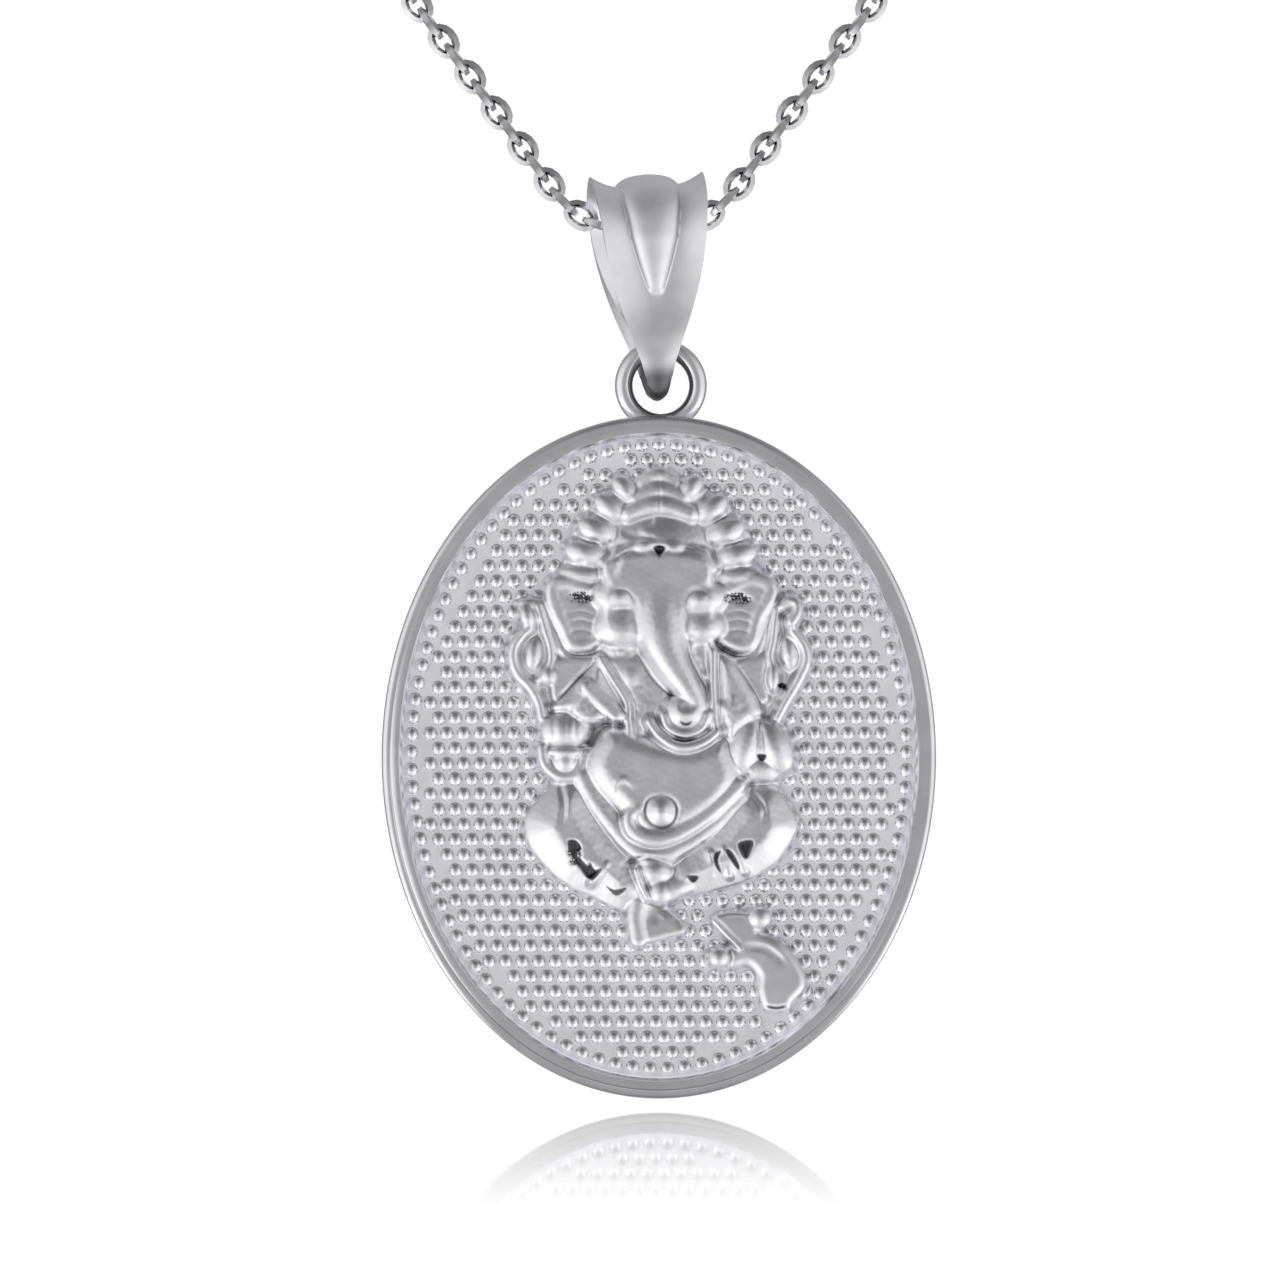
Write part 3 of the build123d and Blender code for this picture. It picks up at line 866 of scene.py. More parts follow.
def legs(r):
    left_leg = (
        (-98, 21), (-117, 37), (-132, 56), (-135, 71), (-131, 85), (-117, 106), (-98, 124),
        (-75, 135), (-39, 153), (-13, 146), (-7, 123), (-29, 91), (-53, 57), (-75, 23),
    )
    right_leg = (
        (82, 34), (100, 28), (118, 31), (130, 47), (139, 65), (137, 77), (122, 101), (107, 113),
        (87, 124), (54, 134), (26, 140), (9, 146), (3, 133), (9, 109), (31, 91), (57, 61),
        (71, 43),
    )
    r.pad(left_leg, 26, 32, base=4, curve=1.35)
    r.pad(right_leg, 27, 27, base=4, curve=1.35)
    # folds from the knees
    r.groove([(-98, 27), (-94, 49), (-97, 65)], 3.5, 2.5)
    r.groove([(93, 35), (104, 49), (105, 63)], 3.5, 2.5)
    # caves under the cloth of the left leg, then the slots of the right leg, with painted shade in
    # them
    caves = (
        (
            (-91, 83), (-82, 83), (-77, 91), (-82, 96), (-75, 104), (-71, 108), (-68, 105),
            (-64, 112), (-57, 111), (-66, 122), (-75, 116), (-84, 102), (-89, 93),
        ),
        ((-53, 128), (-44, 132), (-32, 130), (-42, 138)),
        ((79, 85), (94, 83), (91, 96), (86, 101), (81, 95)),
        ((65, 91), (73, 94), (80, 107), (79, 112), (71, 102)),
        ((55, 97), (62, 93), (59, 102), (62, 115), (56, 108)),
        ((28, 118), (40, 119), (34, 125)),
    )
    for cave in caves:
        r.sink(cave, 3, 2, dark=0.85)
    r.speckle(-84, 96, 8, 14)
    # the cloth beside them: its line, its half widths and its levels
    folds = (
        ([(-51, 106), (-59, 115), (-67, 124)], (1.5, 3), 27),
        ([(50, 95), (52, 105), (52, 117)], (2, 3.5), (28, 24)),
        ([(64, 91), (67, 103), (70, 117)], (2, 4), (29, 24)),
        ([(76, 93), (82, 105), (86, 113)], (2, 4), (28, 22)),
    )
    for line, half_width, level in folds:
        r.roll(line, half_width, level, blend=0.8)


def feet(r):
    r.mound(-37, 129, 20, 11, 23, base=8, turn=20)
    r.mound(15, 130, 27, 12, 24, base=6, turn=-22)
    r.mound(-4, 114, 18, 14, 27, base=14)
    r.groove([(-37, 109), (-19, 101), (-3, 101), (12, 108)], 2.5, 3.5)
    r.mound(2, 134, 15, 14, 26, base=10, turn=-30, blend=1)
    r.roll([(-23, 112), (-18, 127), (-11, 141)], 3, (28, 24), blend=0.8)
    r.groove([(-17, 115), (-13, 127), (-9, 137)], 1.6, 2, dark=0.3)
    r.rough(-31, 127, 14, 12, 0.59, 8)
    drape = (
        (-22, 141), (-29, 149), (-32, 161), (-30, 175), (-28, 184), (-11, 186), (9, 181),
        (25, 177), (28, 170), (17, 158), (3, 148), (-11, 141),
    )
    r.pad(drape, 13, 6)
    r.roll([(-21, 145), (-23, 161), (-20, 181)], 9, 17, blend=0.5, flat=0.4)
    r.groove([(-11, 144), (5, 154), (24, 170)], 3, 2, dark=0.3)
    r.pit(-4, 155, 12, 13, 2.5, turn=40)


def creases(r):
    """The creases where one form meets the next, with painted shade in them."""
    lines = (
        # under the ears
        ([(-114, -153), (-103, -125), (-93, -106), (-76, -101), (-59, -105), (-50, -117)], 0.3),
        ([(118, -152), (106, -127), (95, -105), (79, -100), (63, -107), (52, -120)], 0.3),
        # beside the trunk
        ([(-19, -96), (-7, -78), (9, -63), (22, -61)], 0.45),
        ([(28, -112), (32, -94), (47, -68)], 0.4),
        # round the upper arms
        ([(-58, -99), (-82, -76), (-99, -57), (-108, -48)], 0.5),
        ([(72, -97), (88, -76), (101, -54), (104, -44)], 0.45),
        ([(-69, -53), (-57, -43), (-42, -35), (-35, -39)], 0.3),
        # between the crown's lobes
        ([(-51, -261), (-38, -253)], 0.3),
        ([(-71, -241), (-52, -234)], 0.3),
        ([(-86, -217), (-59, -212)], 0.3),
        ([(50, -261), (39, -253)], 0.3),
        ([(72, -241), (54, -233)], 0.3),
        ([(89, -216), (63, -210)], 0.3),
    )
    for line, dark in lines:
        r.groove(line, 1.7, 1, dark=dark)


def figure_relief(pitch):
    r = Relief((-154, -297), (156, 193), pitch)
    r.pad(SILHOUETTE, 6.5, 3, base=4)
    for part in (back_arms, crown, ears, chest, front_arms, legs, garment, belly, feet, face):
        part(r)
    trunk_tip(r)
    creases(r)
    r.uneven(0.14, 17)
    r.uneven(0.2, 6.5)
    r.soften(1.5)
    return r


def mouse_relief(pitch):
    r = Relief((45, 144), (152, 259), pitch)
    r.pad(MOUSE, 14, 9, base=4)
    r.roll([(55, 163), (68, 177), (82, 191)], 3.5, (13, 15), blend=1, flat=0.8)
    r.roll([(59, 160), (75, 157), (91, 159)], 3, 14, blend=1)
    r.mound(101, 160, 12, 11, 19, blend=0.5)
    r.mound(60, 200, 11, 10, 21, base=12, blend=0.3)
    r.groove([(69, 191), (72, 200), (69, 209)], 2, 2.5, dark=0.4)
    r.groove([(55, 161), (71, 156), (87, 154)], 1.6, 1.2, dark=0.4)
    r.groove([(87, 189), (103, 190), (114, 196), (126, 206)], 5, 1.6)
    r.groove([(106, 248), (117, 250), (128, 248)], 2.2, 1.5, dark=0.9)
    r.uneven(0.12, 17)
    r.soften(1.2)
    return r


# Operators


class PENDANT_OT_stage(bpy.types.Operator):
    """Add the pale floor, the soft light and the camera"""

    bl_idname = "pendant.stage"
    bl_label = "Stage"

    FIELD = 44.8 * MM
    AIM_X = -0.15 * MM
    AIM_Z = -137.06 * MM
    CAMERA_DISTANCE = 0.5
    LAMP_SPREAD = math.radians(70)
    LAMP_ENERGY = 2.75
    LAMP_RISE = 0.7
    FLOOR_GAP = 0.25 * MM
    FLOOR_RADIUS = 0.45
    FLOOR_SIDES = 96
    GLOSS_ROUGHNESS = 0.02
    GLOSS_REACH = 0.14
    GLOSS_SHARE = 0.62
    # The tent's own light, then its bands: where each begins and ends along its way, and its light
    FRONT_LIGHT = 0.40
    REAR_LIGHT = 0.34
    WHITE_LIGHT = 1.05
    BANDS = {
        "below": (0.08, 0.6, 0, 0.55),
        "beside": (0.02, 0.16, 0.6, 1),
        "left": (0.15, 0.7, 0, 0.6),
        "right": (0.27, 0.8, 0, 0.55),
        "above": (0.04, 0.85, 1, 0.42),
        "behind": (-0.1, 0.5),
        "backdrop": (0.985, 0.993),
    }

    def execute(self, context):
        scene, place = context.scene, medallion_place()
        scene.view_settings.view_transform = "Standard"
        camera = new_object("camera", bpy.data.cameras.new("camera"))
        camera.location = (self.AIM_X, place.y - self.CAMERA_DISTANCE, self.AIM_Z)
        camera.rotation_euler = (math.pi / 2, 0, 0)
        camera.data.lens = camera.data.sensor_width * self.CAMERA_DISTANCE / self.FIELD
        camera.data.clip_start = 0.01
        scene.camera = camera
        lamp = new_object("soft_top", bpy.data.lights.new("soft_top", "SUN"))
        lamp.location = (0, place.y, place.z + self.LAMP_RISE)
        lamp.visible_glossy = False
        lamp.data.angle = self.LAMP_SPREAD
        lamp.data.energy = self.LAMP_ENERGY
        lamp.data.use_shadow = False
        self.floor(scene.finish_settings.floor, place)
        scene.world = self.tent()
        return {"FINISHED"}

    def floor(self, tint, place):
        """A matt disc that mirrors the medallion faintly, more so towards it."""
        radius, level = self.FLOOR_RADIUS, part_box("medallion")[0][2] - self.FLOOR_GAP
        verts = [(radius * c, place.y + radius * s, level) for c, s in circle(self.FLOOR_SIDES)]
        material = bpy.data.materials.new("studio_floor")
        material.use_nodes = True
        node = Nodes(material.node_tree)
        node.tree.nodes.clear()
        matt = node("ShaderNodeBsdfDiffuse", {"Color": (*tint, 1)})
        mirror = {"Color": (1, 1, 1, 1), "Roughness": self.GLOSS_ROUGHNESS}
        gloss = node("ShaderNodeBsdfAnisotropic", mirror)
        depth = node("ShaderNodeSeparateXYZ", {0: node("ShaderNodeTexCoord", output="Object")}, "Y")
        share = node.ramp(depth, place.y - self.GLOSS_REACH, place.y, 0, self.GLOSS_SHARE)
        mixed = node("ShaderNodeMixShader", {0: share, 1: matt, 2: gloss})
        node("ShaderNodeOutputMaterial", {"Surface": mixed})
        floor = mesh_piece("studio_floor", verts, [tuple(range(len(verts)))], material)
        floor.visible_glossy = False

    def tent(self):
        """A studio tent: mid grey before the object, white below and beside it, dark above."""
        world = bpy.data.worlds.new("studio_tent")
        world.use_nodes = True
        node = Nodes(world.node_tree)
        node.tree.nodes.clear()
        ray = node("ShaderNodeTexCoord", output="Generated")
        x, y, z = node("ShaderNodeSeparateXYZ", {0: ray}).node.outputs
        ways = {
            "below": node.math("MULTIPLY", z, -1.0),
            "beside": node.math("ABSOLUTE", x),
            "left": node.math("MULTIPLY", x, -1.0),
            "right": x,
            "above": z,
            "behind": y,
            "backdrop": y,
        }
        band = {name: node.ramp(way, *self.BANDS[name]) for name, way in ways.items()}
        low = node.math("MULTIPLY", band["below"], band["beside"])
        tone = node.math("ADD", low, self.FRONT_LIGHT)
        tone = node.math("ADD", tone, band["left"])
        tone = node.math("ADD", tone, band["right"])
        tone = node.math("MULTIPLY", tone, band["above"])
        tone = node.math("MULTIPLY", tone, node.math("SUBTRACT", 1.0, band["behind"]))
        tone = node.math("MULTIPLY_ADD", band["behind"], self.REAR_LIGHT, tone)
        seen = node("ShaderNodeLightPath", output="Is Camera Ray")
        white = node.math("MAXIMUM", seen, band["backdrop"])
        tone = node.math("MAXIMUM", tone, node.math("MULTIPLY", white, self.WHITE_LIGHT))
        light = node("ShaderNodeBackground", {"Color": tone, "Strength": 1.0})
        node("ShaderNodeOutputWorld", {"Surface": light})
        return world


class PENDANT_OT_medallion(bpy.types.Operator):
    """Add the oval plate with its rim and the soldered ring"""

    bl_idname = "pendant.medallion"
    bl_label = "Medallion"

    AROUND = 288
    SHOULDER_STEPS = 8
    CREASE_INSET = 0.3 * MM
    CREASE_WIDTH = 0.05 * MM
    CREASE_STEPS = 4
    # share of painted shade in the crease at its deepest
    CREASE_SHADE = 0.6
    CREASE_TURN = math.radians(20)
    CREASE_BAND = (-0.1, 0.7)
    # The seam round the edge: its depth below the top, then inset and rise in millimetres
    SEAM_DEPTH = 0.62 * MM
    SEAM = ((0, -0.05), (0.035, -0.02), (0.035, 0.02), (0, 0.05))
    HAIR = 0.01 * MM
    # Where the rim meets the ground: inset past the rim and level, both in hairs
    RIM_FOOT = ((1, 5), (4, 1), (8, 0))
    FOOT_TILT = 1.3
    SATIN_BANDS = 3

    def profile(self, medal):
        """Inset and level of the plate's section, from the back round the edge to the ground."""
        top, edge, hair = medal.ground_depth, medal.back_edge, self.HAIR
        shoulder, inner, bevel = medal.rim_shoulder, medal.rim_width, medal.rim_bevel
        back, outer_top = top - medal.thickness, top - medal.rim_slope
        line = [(2 * edge, back), (edge, back), (0.8 * edge, back + hair)]
        line += [(2 * hair, back + edge), (0, back + 1.3 * edge)]
        line += [(inset * MM, top - self.SEAM_DEPTH + rise * MM) for inset, rise in self.SEAM]
        for inset, drop in quarter_round(shoulder, self.SHOULDER_STEPS):
            line.append((inset, outer_top - drop))
        for i in range(-self.CREASE_STEPS, self.CREASE_STEPS + 1):
            inset = self.CREASE_INSET + i * self.CREASE_WIDTH / self.CREASE_STEPS
            rise = medal.rim_slope * (inset - shoulder) / (inner - shoulder)
            line.append((inset, outer_top + rise))
        line += [(inner - 1.25 * bevel, top), (inner - bevel, top - 0.6 * hair)]
        line += [(inner - hair, top - bevel), (inner, top - bevel - 2 * hair)]
        line += [(inner + past * hair, level * hair) for past, level in self.RIM_FOOT]
        return line

    def crease(self, inset, across, up):
        """The fine crease along the rim, deepest at the lower left, none at the upper right. Its
        share sets both the cut and the painted shade in it.
        """
        depth = max(0.0, 1 - abs(inset - self.CREASE_INSET) / self.CREASE_WIDTH)
        lower_left = -up * math.cos(self.CREASE_TURN) - across * math.sin(self.CREASE_TURN)
        return depth * smooth_share(lower_left, *self.CREASE_BAND)

    def execute(self, context):
        medal, finish = context.scene.medallion_sizes, context.scene.finish_settings
        place, top = medallion_place(), medal.ground_depth
        rim_from = top - medal.rim_slope - medal.rim_shoulder / 2
        rim_to = medal.rim_width - medal.rim_bevel
        profile = self.profile(medal)
        verts, recess = [], []
        for inset, level in profile:
            for across, up in circle(self.AROUND):
                crease = self.crease(inset, across, up) if level > rim_from else 0.0
                # painted shade in the crease, strongest at the lower left
                recess.append(self.CREASE_SHADE * crease)
                height = level - medal.crease_depth * crease
                if level > rim_from and inset < rim_to:
                    height = top - (top - height) * (1 - self.FOOT_TILT * max(0.0, -up) ** 2)
                point = Vector((medal.width / 2 * across, -height, medal.height / 2 * up))
                out = Vector((across / medal.width, 0, up / medal.height)).normalized()
                verts.append(place + point - out * inset)
        faces = grid_faces(len(profile), self.AROUND, close_columns=True)
        bands = range(len(faces) - self.SATIN_BANDS * self.AROUND, len(faces))
        faces += [tuple(range(self.AROUND)), tuple(range(len(verts) - self.AROUND, len(verts)))]
        satin_faces = (*bands, len(faces) - 1)
        rise = medal.height / 2 - medal.solder_depth + medal.ring_inner / 2 + medal.ring_wire
        centre = Vector((place.x + medal.ring_offset, hanging_plane(), place.z + rise))
        ring_radius = (medal.ring_inner + medal.ring_wire) / 2
        join(verts, faces, *torus(centre, RIGHT, UP, ring_radius, medal.ring_wire / 2))
        metal = silver("polished_silver", finish.polished, finish.painted_hollow_shade)
        satin = silver("satin_ground", finish.satin)
        plate = mesh_piece("medallion_plate", verts, faces, metal)
        point_values(plate.data, "recess", recess + [0.0] * (len(verts) - len(recess)))
        plate.data.materials.append(satin)
        for face in satin_faces:
            plate.data.polygons[face].material_index = 1
        outward(plate)
        hand_over(plate, "medallion", "cast_silver", "medallion")
        return {"FINISHED"}


FOOTING = 2  # steps that a relief's foot lies below the sunk level


def relief_piece(name, field, material):
    """A closed shell from a height field, sunk a little into the ground."""
    step, place, h = bpy.context.scene.relief_sizes.step, medallion_place(), field.h
    kept = np.maximum.reduce([h[:-1, :-1], h[1:, :-1], h[:-1, 1:], h[1:, 1:]]) > SUNK
    corners = np.zeros(h.shape, bool)
    ends = (slice(-1), slice(1, None))
    for rows in ends:
        for columns in ends:
            corners[rows, columns] |= kept
    index = np.full(h.shape, -1)
    index[corners] = np.arange(corners.sum())
    level = np.maximum(h, SUNK)[corners]
    verts = np.column_stack((field.x[corners], -level, -field.y[corners])) * step + np.array(place)
    r, c = np.nonzero(kept)
    faces = np.column_stack((index[r, c], index[r, c + 1], index[r + 1, c + 1], index[r + 1, c]))
    mesh = new_mesh(name, verts.tolist(), faces=faces.tolist())
    shell = bmesh.new()
    shell.from_mesh(mesh)
    edges = [edge for edge in shell.edges if edge.is_boundary]
    for item in bmesh.ops.extrude_edge_only(shell, edges=edges)["geom"]:
        if isinstance(item, bmesh.types.BMVert):
            item.co.y = place.y - (SUNK - FOOTING) * step
    rim = [edge for edge in shell.edges if edge.is_boundary]
    bmesh.ops.triangle_fill(shell, edges=rim)
    bmesh.ops.recalc_face_normals(shell, faces=shell.faces)
    shell.to_mesh(mesh)
    shell.free()
    mesh.shade_smooth()
    mesh.materials.append(material)
    # painted shade in the relief's hollows, carried by the recess attribute
    recess = np.zeros(len(mesh.vertices))
    recess[: len(verts)] = field.recess()[corners]
    point_values(mesh, "recess", recess)
    hand_over(new_object(name, mesh), "medallion", "cast_silver")


class PENDANT_OT_figure(bpy.types.Operator):
    """Add the seated figure and the mouse, raised on the ground"""

    bl_idname = "pendant.figure"
    bl_label = "Figure and mouse"

    def execute(self, context):
        finish, pitch = context.scene.finish_settings, context.scene.relief_sizes.pitch
        metal = silver("cast_relief", finish.relief, finish.painted_hollow_shade)
        relief_piece("figure", figure_relief(pitch), metal)
        relief_piece("mouse", mouse_relief(pitch), metal)
        return {"FINISHED"}


class PENDANT_OT_beads(bpy.types.Operator):
    """Add the beads of the ground"""

    bl_idname = "pendant.beads"
    bl_label = "Bead ground"

    BORDER_BEADS = 101
    FIELD_GAP = 0.66  # from the border's beads to the field's edge, as a share of the bead pitch
    SIDES = 12
    # Height and radius, as shares of the bead's height and half width: a foot and a dome
    PROFILE = (
        (-0.2, 1.2), (0.0, 1.18), (0.05, 1.06), (0.26, 0.94), (0.64, 0.72), (0.9, 0.42),
        (1.0, 0.06),
    )

    def execute(self, context):
        medal, relief = context.scene.medallion_sizes, context.scene.relief_sizes
        place, step, pitch = medallion_place(), relief.step, relief.bead_pitch
        across = medal.width / 2 - medal.rim_width - relief.border_gap
        up = medal.height / 2 - medal.rim_width - relief.border_gap
        points = ellipse_points(across, up, self.BORDER_BEADS)
        gap = pitch * self.FIELD_GAP
        blocked = [rounded(outline, True) * step for outline in (SILHOUETTE, MOUSE)]
        reach = int(medal.height / relief.row_pitch) + 1
        for row in range(-reach, reach + 1):
            z = row * relief.row_pitch - BEAD_START[1] * step
            shift = pitch / 2 * (row % 2) + BEAD_START[0] * step
            for column in range(-reach, reach + 1):
                x = column * pitch + shift
                in_field = (x / (across - gap)) ** 2 + (z / (up - gap)) ** 2 <= 1
                if in_field and not any(inside(outline, x, -z) for outline in blocked):
                    points.append((x, z))
        places = [(place.x + x, place.y, place.z + z) for x, z in points]
        beads = new_object("bead_ground", new_mesh("bead_ground", places))
        finish = context.scene.finish_settings
        metal = silver("bead_silver", finish.polished)
        bead = mesh_piece("bead", *lathe(self.PROFILE, self.SIDES, -BACK, RIGHT), metal)
        inputs = {
            "Bead": bead,
            "Bead Width": relief.bead_width,
            "Bead Height": relief.bead_height,
            "Material": metal,
        }
        grow(beads, "bead_field", self.build, inputs)
        bpy.data.objects.remove(bead)
        hand_over(beads, "medallion", "cast_silver")
        return {"FINISHED"}

    def build(self, node, given):
        """A bead of the given size at each point."""
        bead = node("GeometryNodeObjectInfo", {"Object": given["Bead"]}, "Geometry")
        half = node.math("MULTIPLY", given["Bead Width"], 0.5)
        scale = node("ShaderNodeCombineXYZ", {0: half, 1: given["Bead Height"], 2: half})
        sized = node("GeometryNodeTransform", {"Geometry": bead, "Scale": scale})
        return node(
            "GeometryNodeInstanceOnPoints", {"Points": given["Geometry"], "Instance": sized}
        )


def ellipse_points(across, up, count, fine=3600):
    """Points spaced evenly along an ellipse, from its top, found on a finer ring."""
    ring = [(across * s, up * c) for c, s in circle(fine)]
    ring.append(ring[0])
    runs = [math.dist(a, b) for a, b in zip(ring, ring[1:])]
    total, travelled, points = sum(runs), 0.0, []
    for point, run in zip(ring, runs):
        if travelled >= len(points) * total / count:
            points.append(point)
        travelled += run
    return points[:count]


def inside(outline, x, y):
    """True if a place is inside a closed outline."""
    a, b = outline, np.roll(outline, -1, axis=0)
    crosses = (a[:, 1] > y) != (b[:, 1] > y)
    rise = np.where(crosses, b[:, 1] - a[:, 1], 1)
    meet = a[:, 0] + (y - a[:, 1]) * (b[:, 0] - a[:, 0]) / rise
    return np.count_nonzero(crosses & (x < meet)) % 2 == 1


class PENDANT_OT_bail(bpy.types.Operator):
    """Add the fluted bail, folded through the ring"""

    bl_idname = "pendant.bail"
    bl_label = "Bail"

    # Share of the way from the arch's top to the tip, then shares of the bail's own sizes: width,
    # depth of the grooves, height of the rib between them, width of the rib, crown of the front.
    STRIP = (
        (0.00, 1.00, 1.00, 1.00, 0.56, 0.0),
        (0.16, 0.98, 1.00, 1.00, 0.54, 0.0),
        (0.30, 0.905, 1.00, 0.95, 0.47, 0.0),
        (0.37, 0.85, 0.98, 0.88, 0.38, 0.0),
        (0.43, 0.78, 0.92, 0.75, 0.28, 0.0),
        (0.465, 0.73, 0.85, 0.55, 0.20, 0.0),
        (0.48, 0.71, 0.80, 0.0, 0.15, 0.0),
        (0.547, 0.60, 0.45, 0.0, 0.15, 0.2),
        (0.62, 0.46, 0.12, 0.0, 0.15, 0.6),
        (0.70, 0.31, 0.0, 0.0, 0.15, 1.0),
        (0.76, 0.225, 0.0, 0.0, 0.15, 1.0),
        (0.87, 0.18, 0.0, 0.0, 0.15, 1.0),
        (1.00, 0.14, 0.0, 0.0, 0.15, 1.0),
    )
    # The darkening towards the tip, duller soldered metal lower down and painted shade at the tip:
    # where it begins and is full along the strip, and its share
    SOLDER_AND_TIP_SHADE = ((0.42, 0.6, 0.35), (0.69, 0.77, 0.65))
    # The painted shade of a dark line beside the rib: its middle and width as shares of the rib,
    # and its tone
    LINE_MIDDLE, LINE_WIDTH, LINE_TONE = 0.94, 0.16, 0.7
    LINE_START = (0.02, 0.2)  # where it begins and is full along the strip
    STROKES = (0.3, 0.3, 2)  # scale of the grain in the brushed metal, drawn out sideways
    EDGE_ANGLE = 50
    STATIONS = 168
    ACROSS = 72

    def execute(self, context):
        bail, finish = context.scene.bail_sizes, context.scene.finish_settings
        arch, count, columns = bail.depth / 2, self.STATIONS, self.ACROSS + 1
        outer = side_line(arch, bail.fold_round, arch - bail.height + bail.fold_round, count)
        hollow = side_line(arch - bail.wall, bail.seat_round, arch - bail.height + bail.tip, count)
        turn = Matrix.Rotation(-bail.lean, 3, "Y") @ Matrix.Rotation(bail.yaw, 3, "Z")
        hang = Vector((bail.offset, hanging_plane(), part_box("bail")[1][2] - arch))
        ways, *shares = np.array(self.STRIP).T
        verts, darker = [], []
        for shell, line in enumerate((outer, hollow)):
            for way, point, normal in line:
                width, flute, tongue, rib, crown = (np.interp(way, ways, share) for share in shares)
                # duller soldered metal lower down, painted shade at the tip
                solder_and_tip_shade = sum(part * smooth_share(way, *limits) for *limits, part in self.SOLDER_AND_TIP_SHADE)
                # painted shade along the rib's edge
                tone = self.LINE_TONE * min(1.0, 2 * tongue) * smooth_share(way, *self.LINE_START)
                half = bail.width / 2 * width
                for column in range(columns):
                    u = 2 * column / self.ACROSS - 1
                    dip = bail.flute * flute_depth(abs(u), rib, flute, tongue)
                    dip += bail.crown * crown * u * u * (1 - shell)
                    lift = bail.edge_thinning * max(0.0, abs(u) * 2 - 1) ** 2 * shell * flute
                    side = point + normal * (lift - dip)
                    verts.append(hang + turn @ Vector((u * half, side.x, side.y)))
                    beside = max(0.0, 1 - abs(abs(u) / rib - self.LINE_MIDDLE) / self.LINE_WIDTH)
                    darker.append(max(solder_and_tip_shade, tone * beside))
        shell_size = count * columns
        faces = grid_faces(count, columns, close_rows=True)
        faces += grid_faces(count, columns, start=shell_size, close_rows=True)
        for row in range(count):
            for edge in (0, self.ACROSS):
                a, b = row * columns + edge, (row + 1) % count * columns + edge
                faces.append((a, b, b + shell_size, a + shell_size))
        metal = silver("bail_silver", finish.brushed, finish.soldered, self.STROKES)
        piece = mesh_piece("bail_strip", verts, faces, metal, crease_angle=self.EDGE_ANGLE)
        # painted shade at the tip and beside the rib, with the duller soldered band, carried by the
        # recess attribute
        point_values(piece.data, "recess", darker)
        outward(piece)
        hand_over(piece, "bail", "bail_silver", "bail")
        return {"FINISHED"}


def flute_depth(u, rib, groove, tongue):
    """Depth across the strip: a domed rib, then a hollow that rises to the edge."""
    if u < rib:
        return groove - tongue * groove * (1 - 0.6 * (u / rib) ** 2 - 0.4 * (u / rib) ** 6)
    return groove * (1 - ((u - rib) / (1 - rib)) ** 1.5)


ARC_SHARE, FLANK_SHARE = 0.3, 0.45  # of the way from the arch's top to the tip


def side_line(arch, foot, foot_level, count):
    """Closed side view of two circles and their tangents: way to the tip, point and normal."""
    slope = math.asin((arch - foot) / -foot_level)
    foot_middle = Vector((0, foot_level))
    line = []
    for i in range(count):
        side, way = (-1, 2 * i / count) if 2 * i < count else (1, 2 - 2 * i / count)
        over_arch = min(way / ARC_SHARE, 1)
        along = min(max((way - ARC_SHARE) / FLANK_SHARE, 0), 1)
        round_foot = max((way - ARC_SHARE - FLANK_SHARE) / (1 - ARC_SHARE - FLANK_SHARE), 0)
        turn = over_arch * (math.pi / 2 + slope) + round_foot * (math.pi / 2 - slope)
        normal = Vector((side * math.sin(turn), math.cos(turn)))
        line.append((way, (normal * arch).lerp(foot_middle + normal * foot, along), normal))
    return line


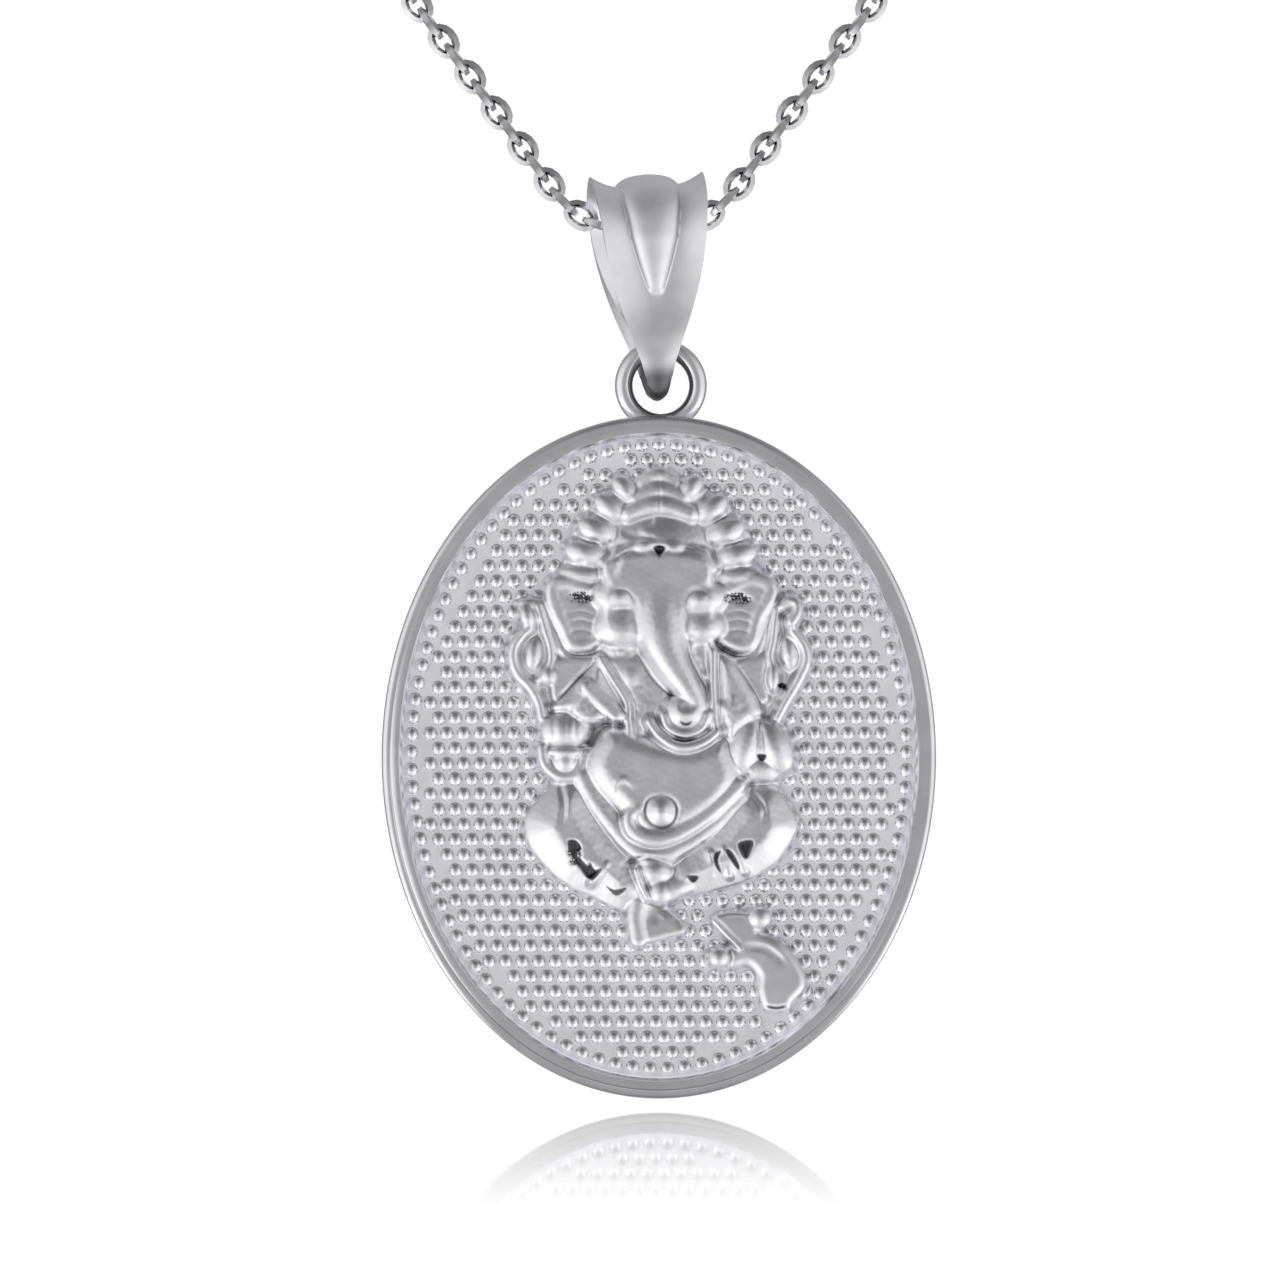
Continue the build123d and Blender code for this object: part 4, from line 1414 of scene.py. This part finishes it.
class PENDANT_OT_chain(bpy.types.Operator):
    """Add the cable chain's links and the clasp"""

    bl_idname = "pendant.chain"
    bl_label = "Chain and clasp"

    # Corners of the right half of the chain's route, in millimetres, from the clasp to the bail
    ROUTE = (
        (4.53, 0, 0), (20, -3.5, -1), (41, -15, -6.5), (56, -36, -17.5), (61.2, -61, -31.8),
        (56, -84, -48.5), (43.5, -99, -66.2), (28.7, -105, -86.8), (2.06, -105, -122.8),
    )
    CORNER_SHARE = 0.45
    NECK_MIDDLE = 52.5 * MM
    WIRE_SIDES = 5
    LINK_EDGE = math.radians(20)
    BARREL_SIDES = 48
    BARREL_STEPS = 12
    EYE_SIDES = (40, 14)

    def execute(self, context):
        chain, finish = context.scene.chain_sizes, context.scene.finish_settings
        right = [Vector(corner) for corner in self.ROUTE]
        left = [Vector((-p.x, p.y, p.z)) for p in reversed(right)]
        line = [p * MM for p in rounded_route(right + left, self.CORNER_SHARE)]
        runs = [(i, i + 1) for i in range(len(line) - 1)]
        links = new_object("chain_links", new_mesh("chain_links", line, runs))
        total = sum((b - a).length for a, b in zip(line, line[1:]))
        # the chain's darker tint is painted shade
        metal = silver("chain_silver", finish.bright)
        inputs = {
            "Link Count": 2 * round(total / chain.link_pitch / 2) + 1,
            "Link Length": chain.link_length,
            "Link Width": chain.link_width,
            "Link Wire": chain.link_wire,
            "Link Sides": chain.link_sides,
            "Neck Middle": self.NECK_MIDDLE,
            "Material": metal,
        }
        grow(links, "cable_chain", self.build, inputs)
        links.data.set_sharp_from_angle(angle=self.LINK_EDGE)
        hand_over(links, "necklace", "chain_silver", "chain")
        self.clasp(chain, metal)
        return {"FINISHED"}

    def build(self, node, given):
        """Oval links along the route, each turned a quarter against the one before."""
        line = node("GeometryNodeMeshToCurve", {"Mesh": given["Geometry"]})
        points = node("GeometryNodeResampleCurve", {"Curve": line, "Count": given["Link Count"]})
        wire = node.math("MULTIPLY", given["Link Wire"], 0.5)
        along, across = (
            node.math("SUBTRACT", node.math("MULTIPLY", given[name], 0.5), wire)
            for name in ("Link Length", "Link Width")
        )
        size = node("ShaderNodeCombineXYZ", {0: along, 1: across, 2: 1.0})
        round_line = "GeometryNodeCurvePrimitiveCircle"
        oval = node(round_line, {"Resolution": given["Link Sides"], "Radius": 1.0})
        oval = node("GeometryNodeTransform", {"Geometry": oval, "Scale": size})
        section = node(round_line, {"Resolution": self.WIRE_SIDES, "Radius": wire})
        half_side = (0.0, 0.0, math.pi / self.WIRE_SIDES)
        section = node("GeometryNodeTransform", {"Geometry": section, "Rotation": half_side})
        link = node("GeometryNodeCurveToMesh", {"Curve": oval, "Profile Curve": section})
        flat = node.vector_math("MULTIPLY", node("GeometryNodeInputPosition"), (1.0, 1.0, 0.0))
        middle = node("ShaderNodeCombineXYZ", {1: given["Neck Middle"]})
        axes = {
            "Primary Axis": node("GeometryNodeInputTangent"),
            "Secondary Axis": node.vector_math("ADD", flat, middle),
        }
        facing = node("FunctionNodeAxesToRotation", axes, primary_axis="X", secondary_axis="Z")
        odd = node.math("MODULO", node("GeometryNodeInputIndex"), 2.0)
        quarter = node.math("MULTIPLY", odd, math.pi / 2)
        roll = node("FunctionNodeAxisAngleToRotation", {"Axis": (1.0, 0.0, 0.0), "Angle": quarter})
        turns = {"Rotation": facing, "Rotate By": roll}
        turned = node("FunctionNodeRotateRotation", turns, rotation_space="LOCAL")
        return node(
            "GeometryNodeInstanceOnPoints", {"Points": points, "Instance": link, "Rotation": turned}
        )

    def clasp(self, chain, metal):
        """A lathed barrel with an eye at each end."""
        radius, edge, half = chain.barrel_diameter / 2, chain.barrel_round, chain.barrel_length / 2
        rounding = quarter_round(edge, self.BARREL_STEPS)
        profile = [(inset - half, radius - drop) for inset, drop in rounding]
        profile += [(-place, r) for place, r in reversed(profile)]
        verts, faces = lathe(profile, self.BARREL_SIDES, RIGHT, BACK)
        eye_place = half - chain.eye_overlap + chain.eye_outer / 2
        eye_radius = (chain.eye_outer - chain.eye_wire) / 2
        for side in (-1, 1):
            middle = RIGHT * (side * eye_place)
            eye = torus(middle, RIGHT, BACK, eye_radius, chain.eye_wire / 2, *self.EYE_SIDES)
            join(verts, faces, *eye)
        piece = mesh_piece("clasp_barrel", verts, faces, metal)
        outward(piece)
        hand_over(piece, "necklace", "chain_silver", "clasp")


def rounded_route(points, corner_share, arc_steps=24):
    """The points of a route whose corners are arcs that take a share of the shorter run."""
    line = [points[0]]
    for before, corner, after in zip(points, points[1:], points[2:]):
        run_in, run_out = before - corner, after - corner
        cut = corner_share * min(run_in.length, run_out.length)
        start = corner + run_in.normalized() * cut
        end = corner + run_out.normalized() * cut
        half_turn = (math.pi - run_in.angle(run_out)) / 2
        radius = cut / math.tan(half_turn)
        inward = ((start + end) / 2 - corner).normalized()
        centre = corner + inward * (radius / math.cos(half_turn))
        along = (end - start).normalized()
        for i in range(arc_steps + 1):
            turn = (2 * i / arc_steps - 1) * half_turn
            out = centre - inward * (radius * math.cos(turn))
            line.append(out + along * (radius * math.sin(turn)))
    line.append(points[-1])
    return line


class PENDANT_PT_parts(bpy.types.Panel):
    """Panel in the sidebar with a button for each part"""

    bl_label = "Pendant"
    bl_idname = "PENDANT_PT_parts"
    bl_space_type = "VIEW_3D"
    bl_region_type = "UI"
    bl_category = "Pendant"

    def draw(self, context):
        for operator in OPERATORS:
            self.layout.operator(operator.bl_idname)
        for name, group in SETTINGS.items():
            box = self.layout.box()
            settings = getattr(context.scene, name)
            for prop in group.__annotations__:
                box.prop(settings, prop)


SETTINGS = {
    "medallion_sizes": MedallionSizes,
    "relief_sizes": ReliefSizes,
    "bail_sizes": BailSizes,
    "chain_sizes": ChainSizes,
    "finish_settings": FinishSettings,
}
OPERATORS = (
    PENDANT_OT_stage,
    PENDANT_OT_chain,
    PENDANT_OT_bail,
    PENDANT_OT_medallion,
    PENDANT_OT_beads,
    PENDANT_OT_figure,
)
CLASSES = (*SETTINGS.values(), *OPERATORS, PENDANT_PT_parts)


def register():
    for cls in CLASSES:
        bpy.utils.register_class(cls)
    for name, group in SETTINGS.items():
        setattr(bpy.types.Scene, name, PointerProperty(type=group))


def unregister():
    for name in SETTINGS:
        delattr(bpy.types.Scene, name)
    for cls in reversed(CLASSES):
        bpy.utils.unregister_class(cls)


def main():
    register()
    for operator in OPERATORS:
        group, action = operator.bl_idname.split(".")
        getattr(getattr(bpy.ops, group), action)()


if __name__ == "__main__":
    main()
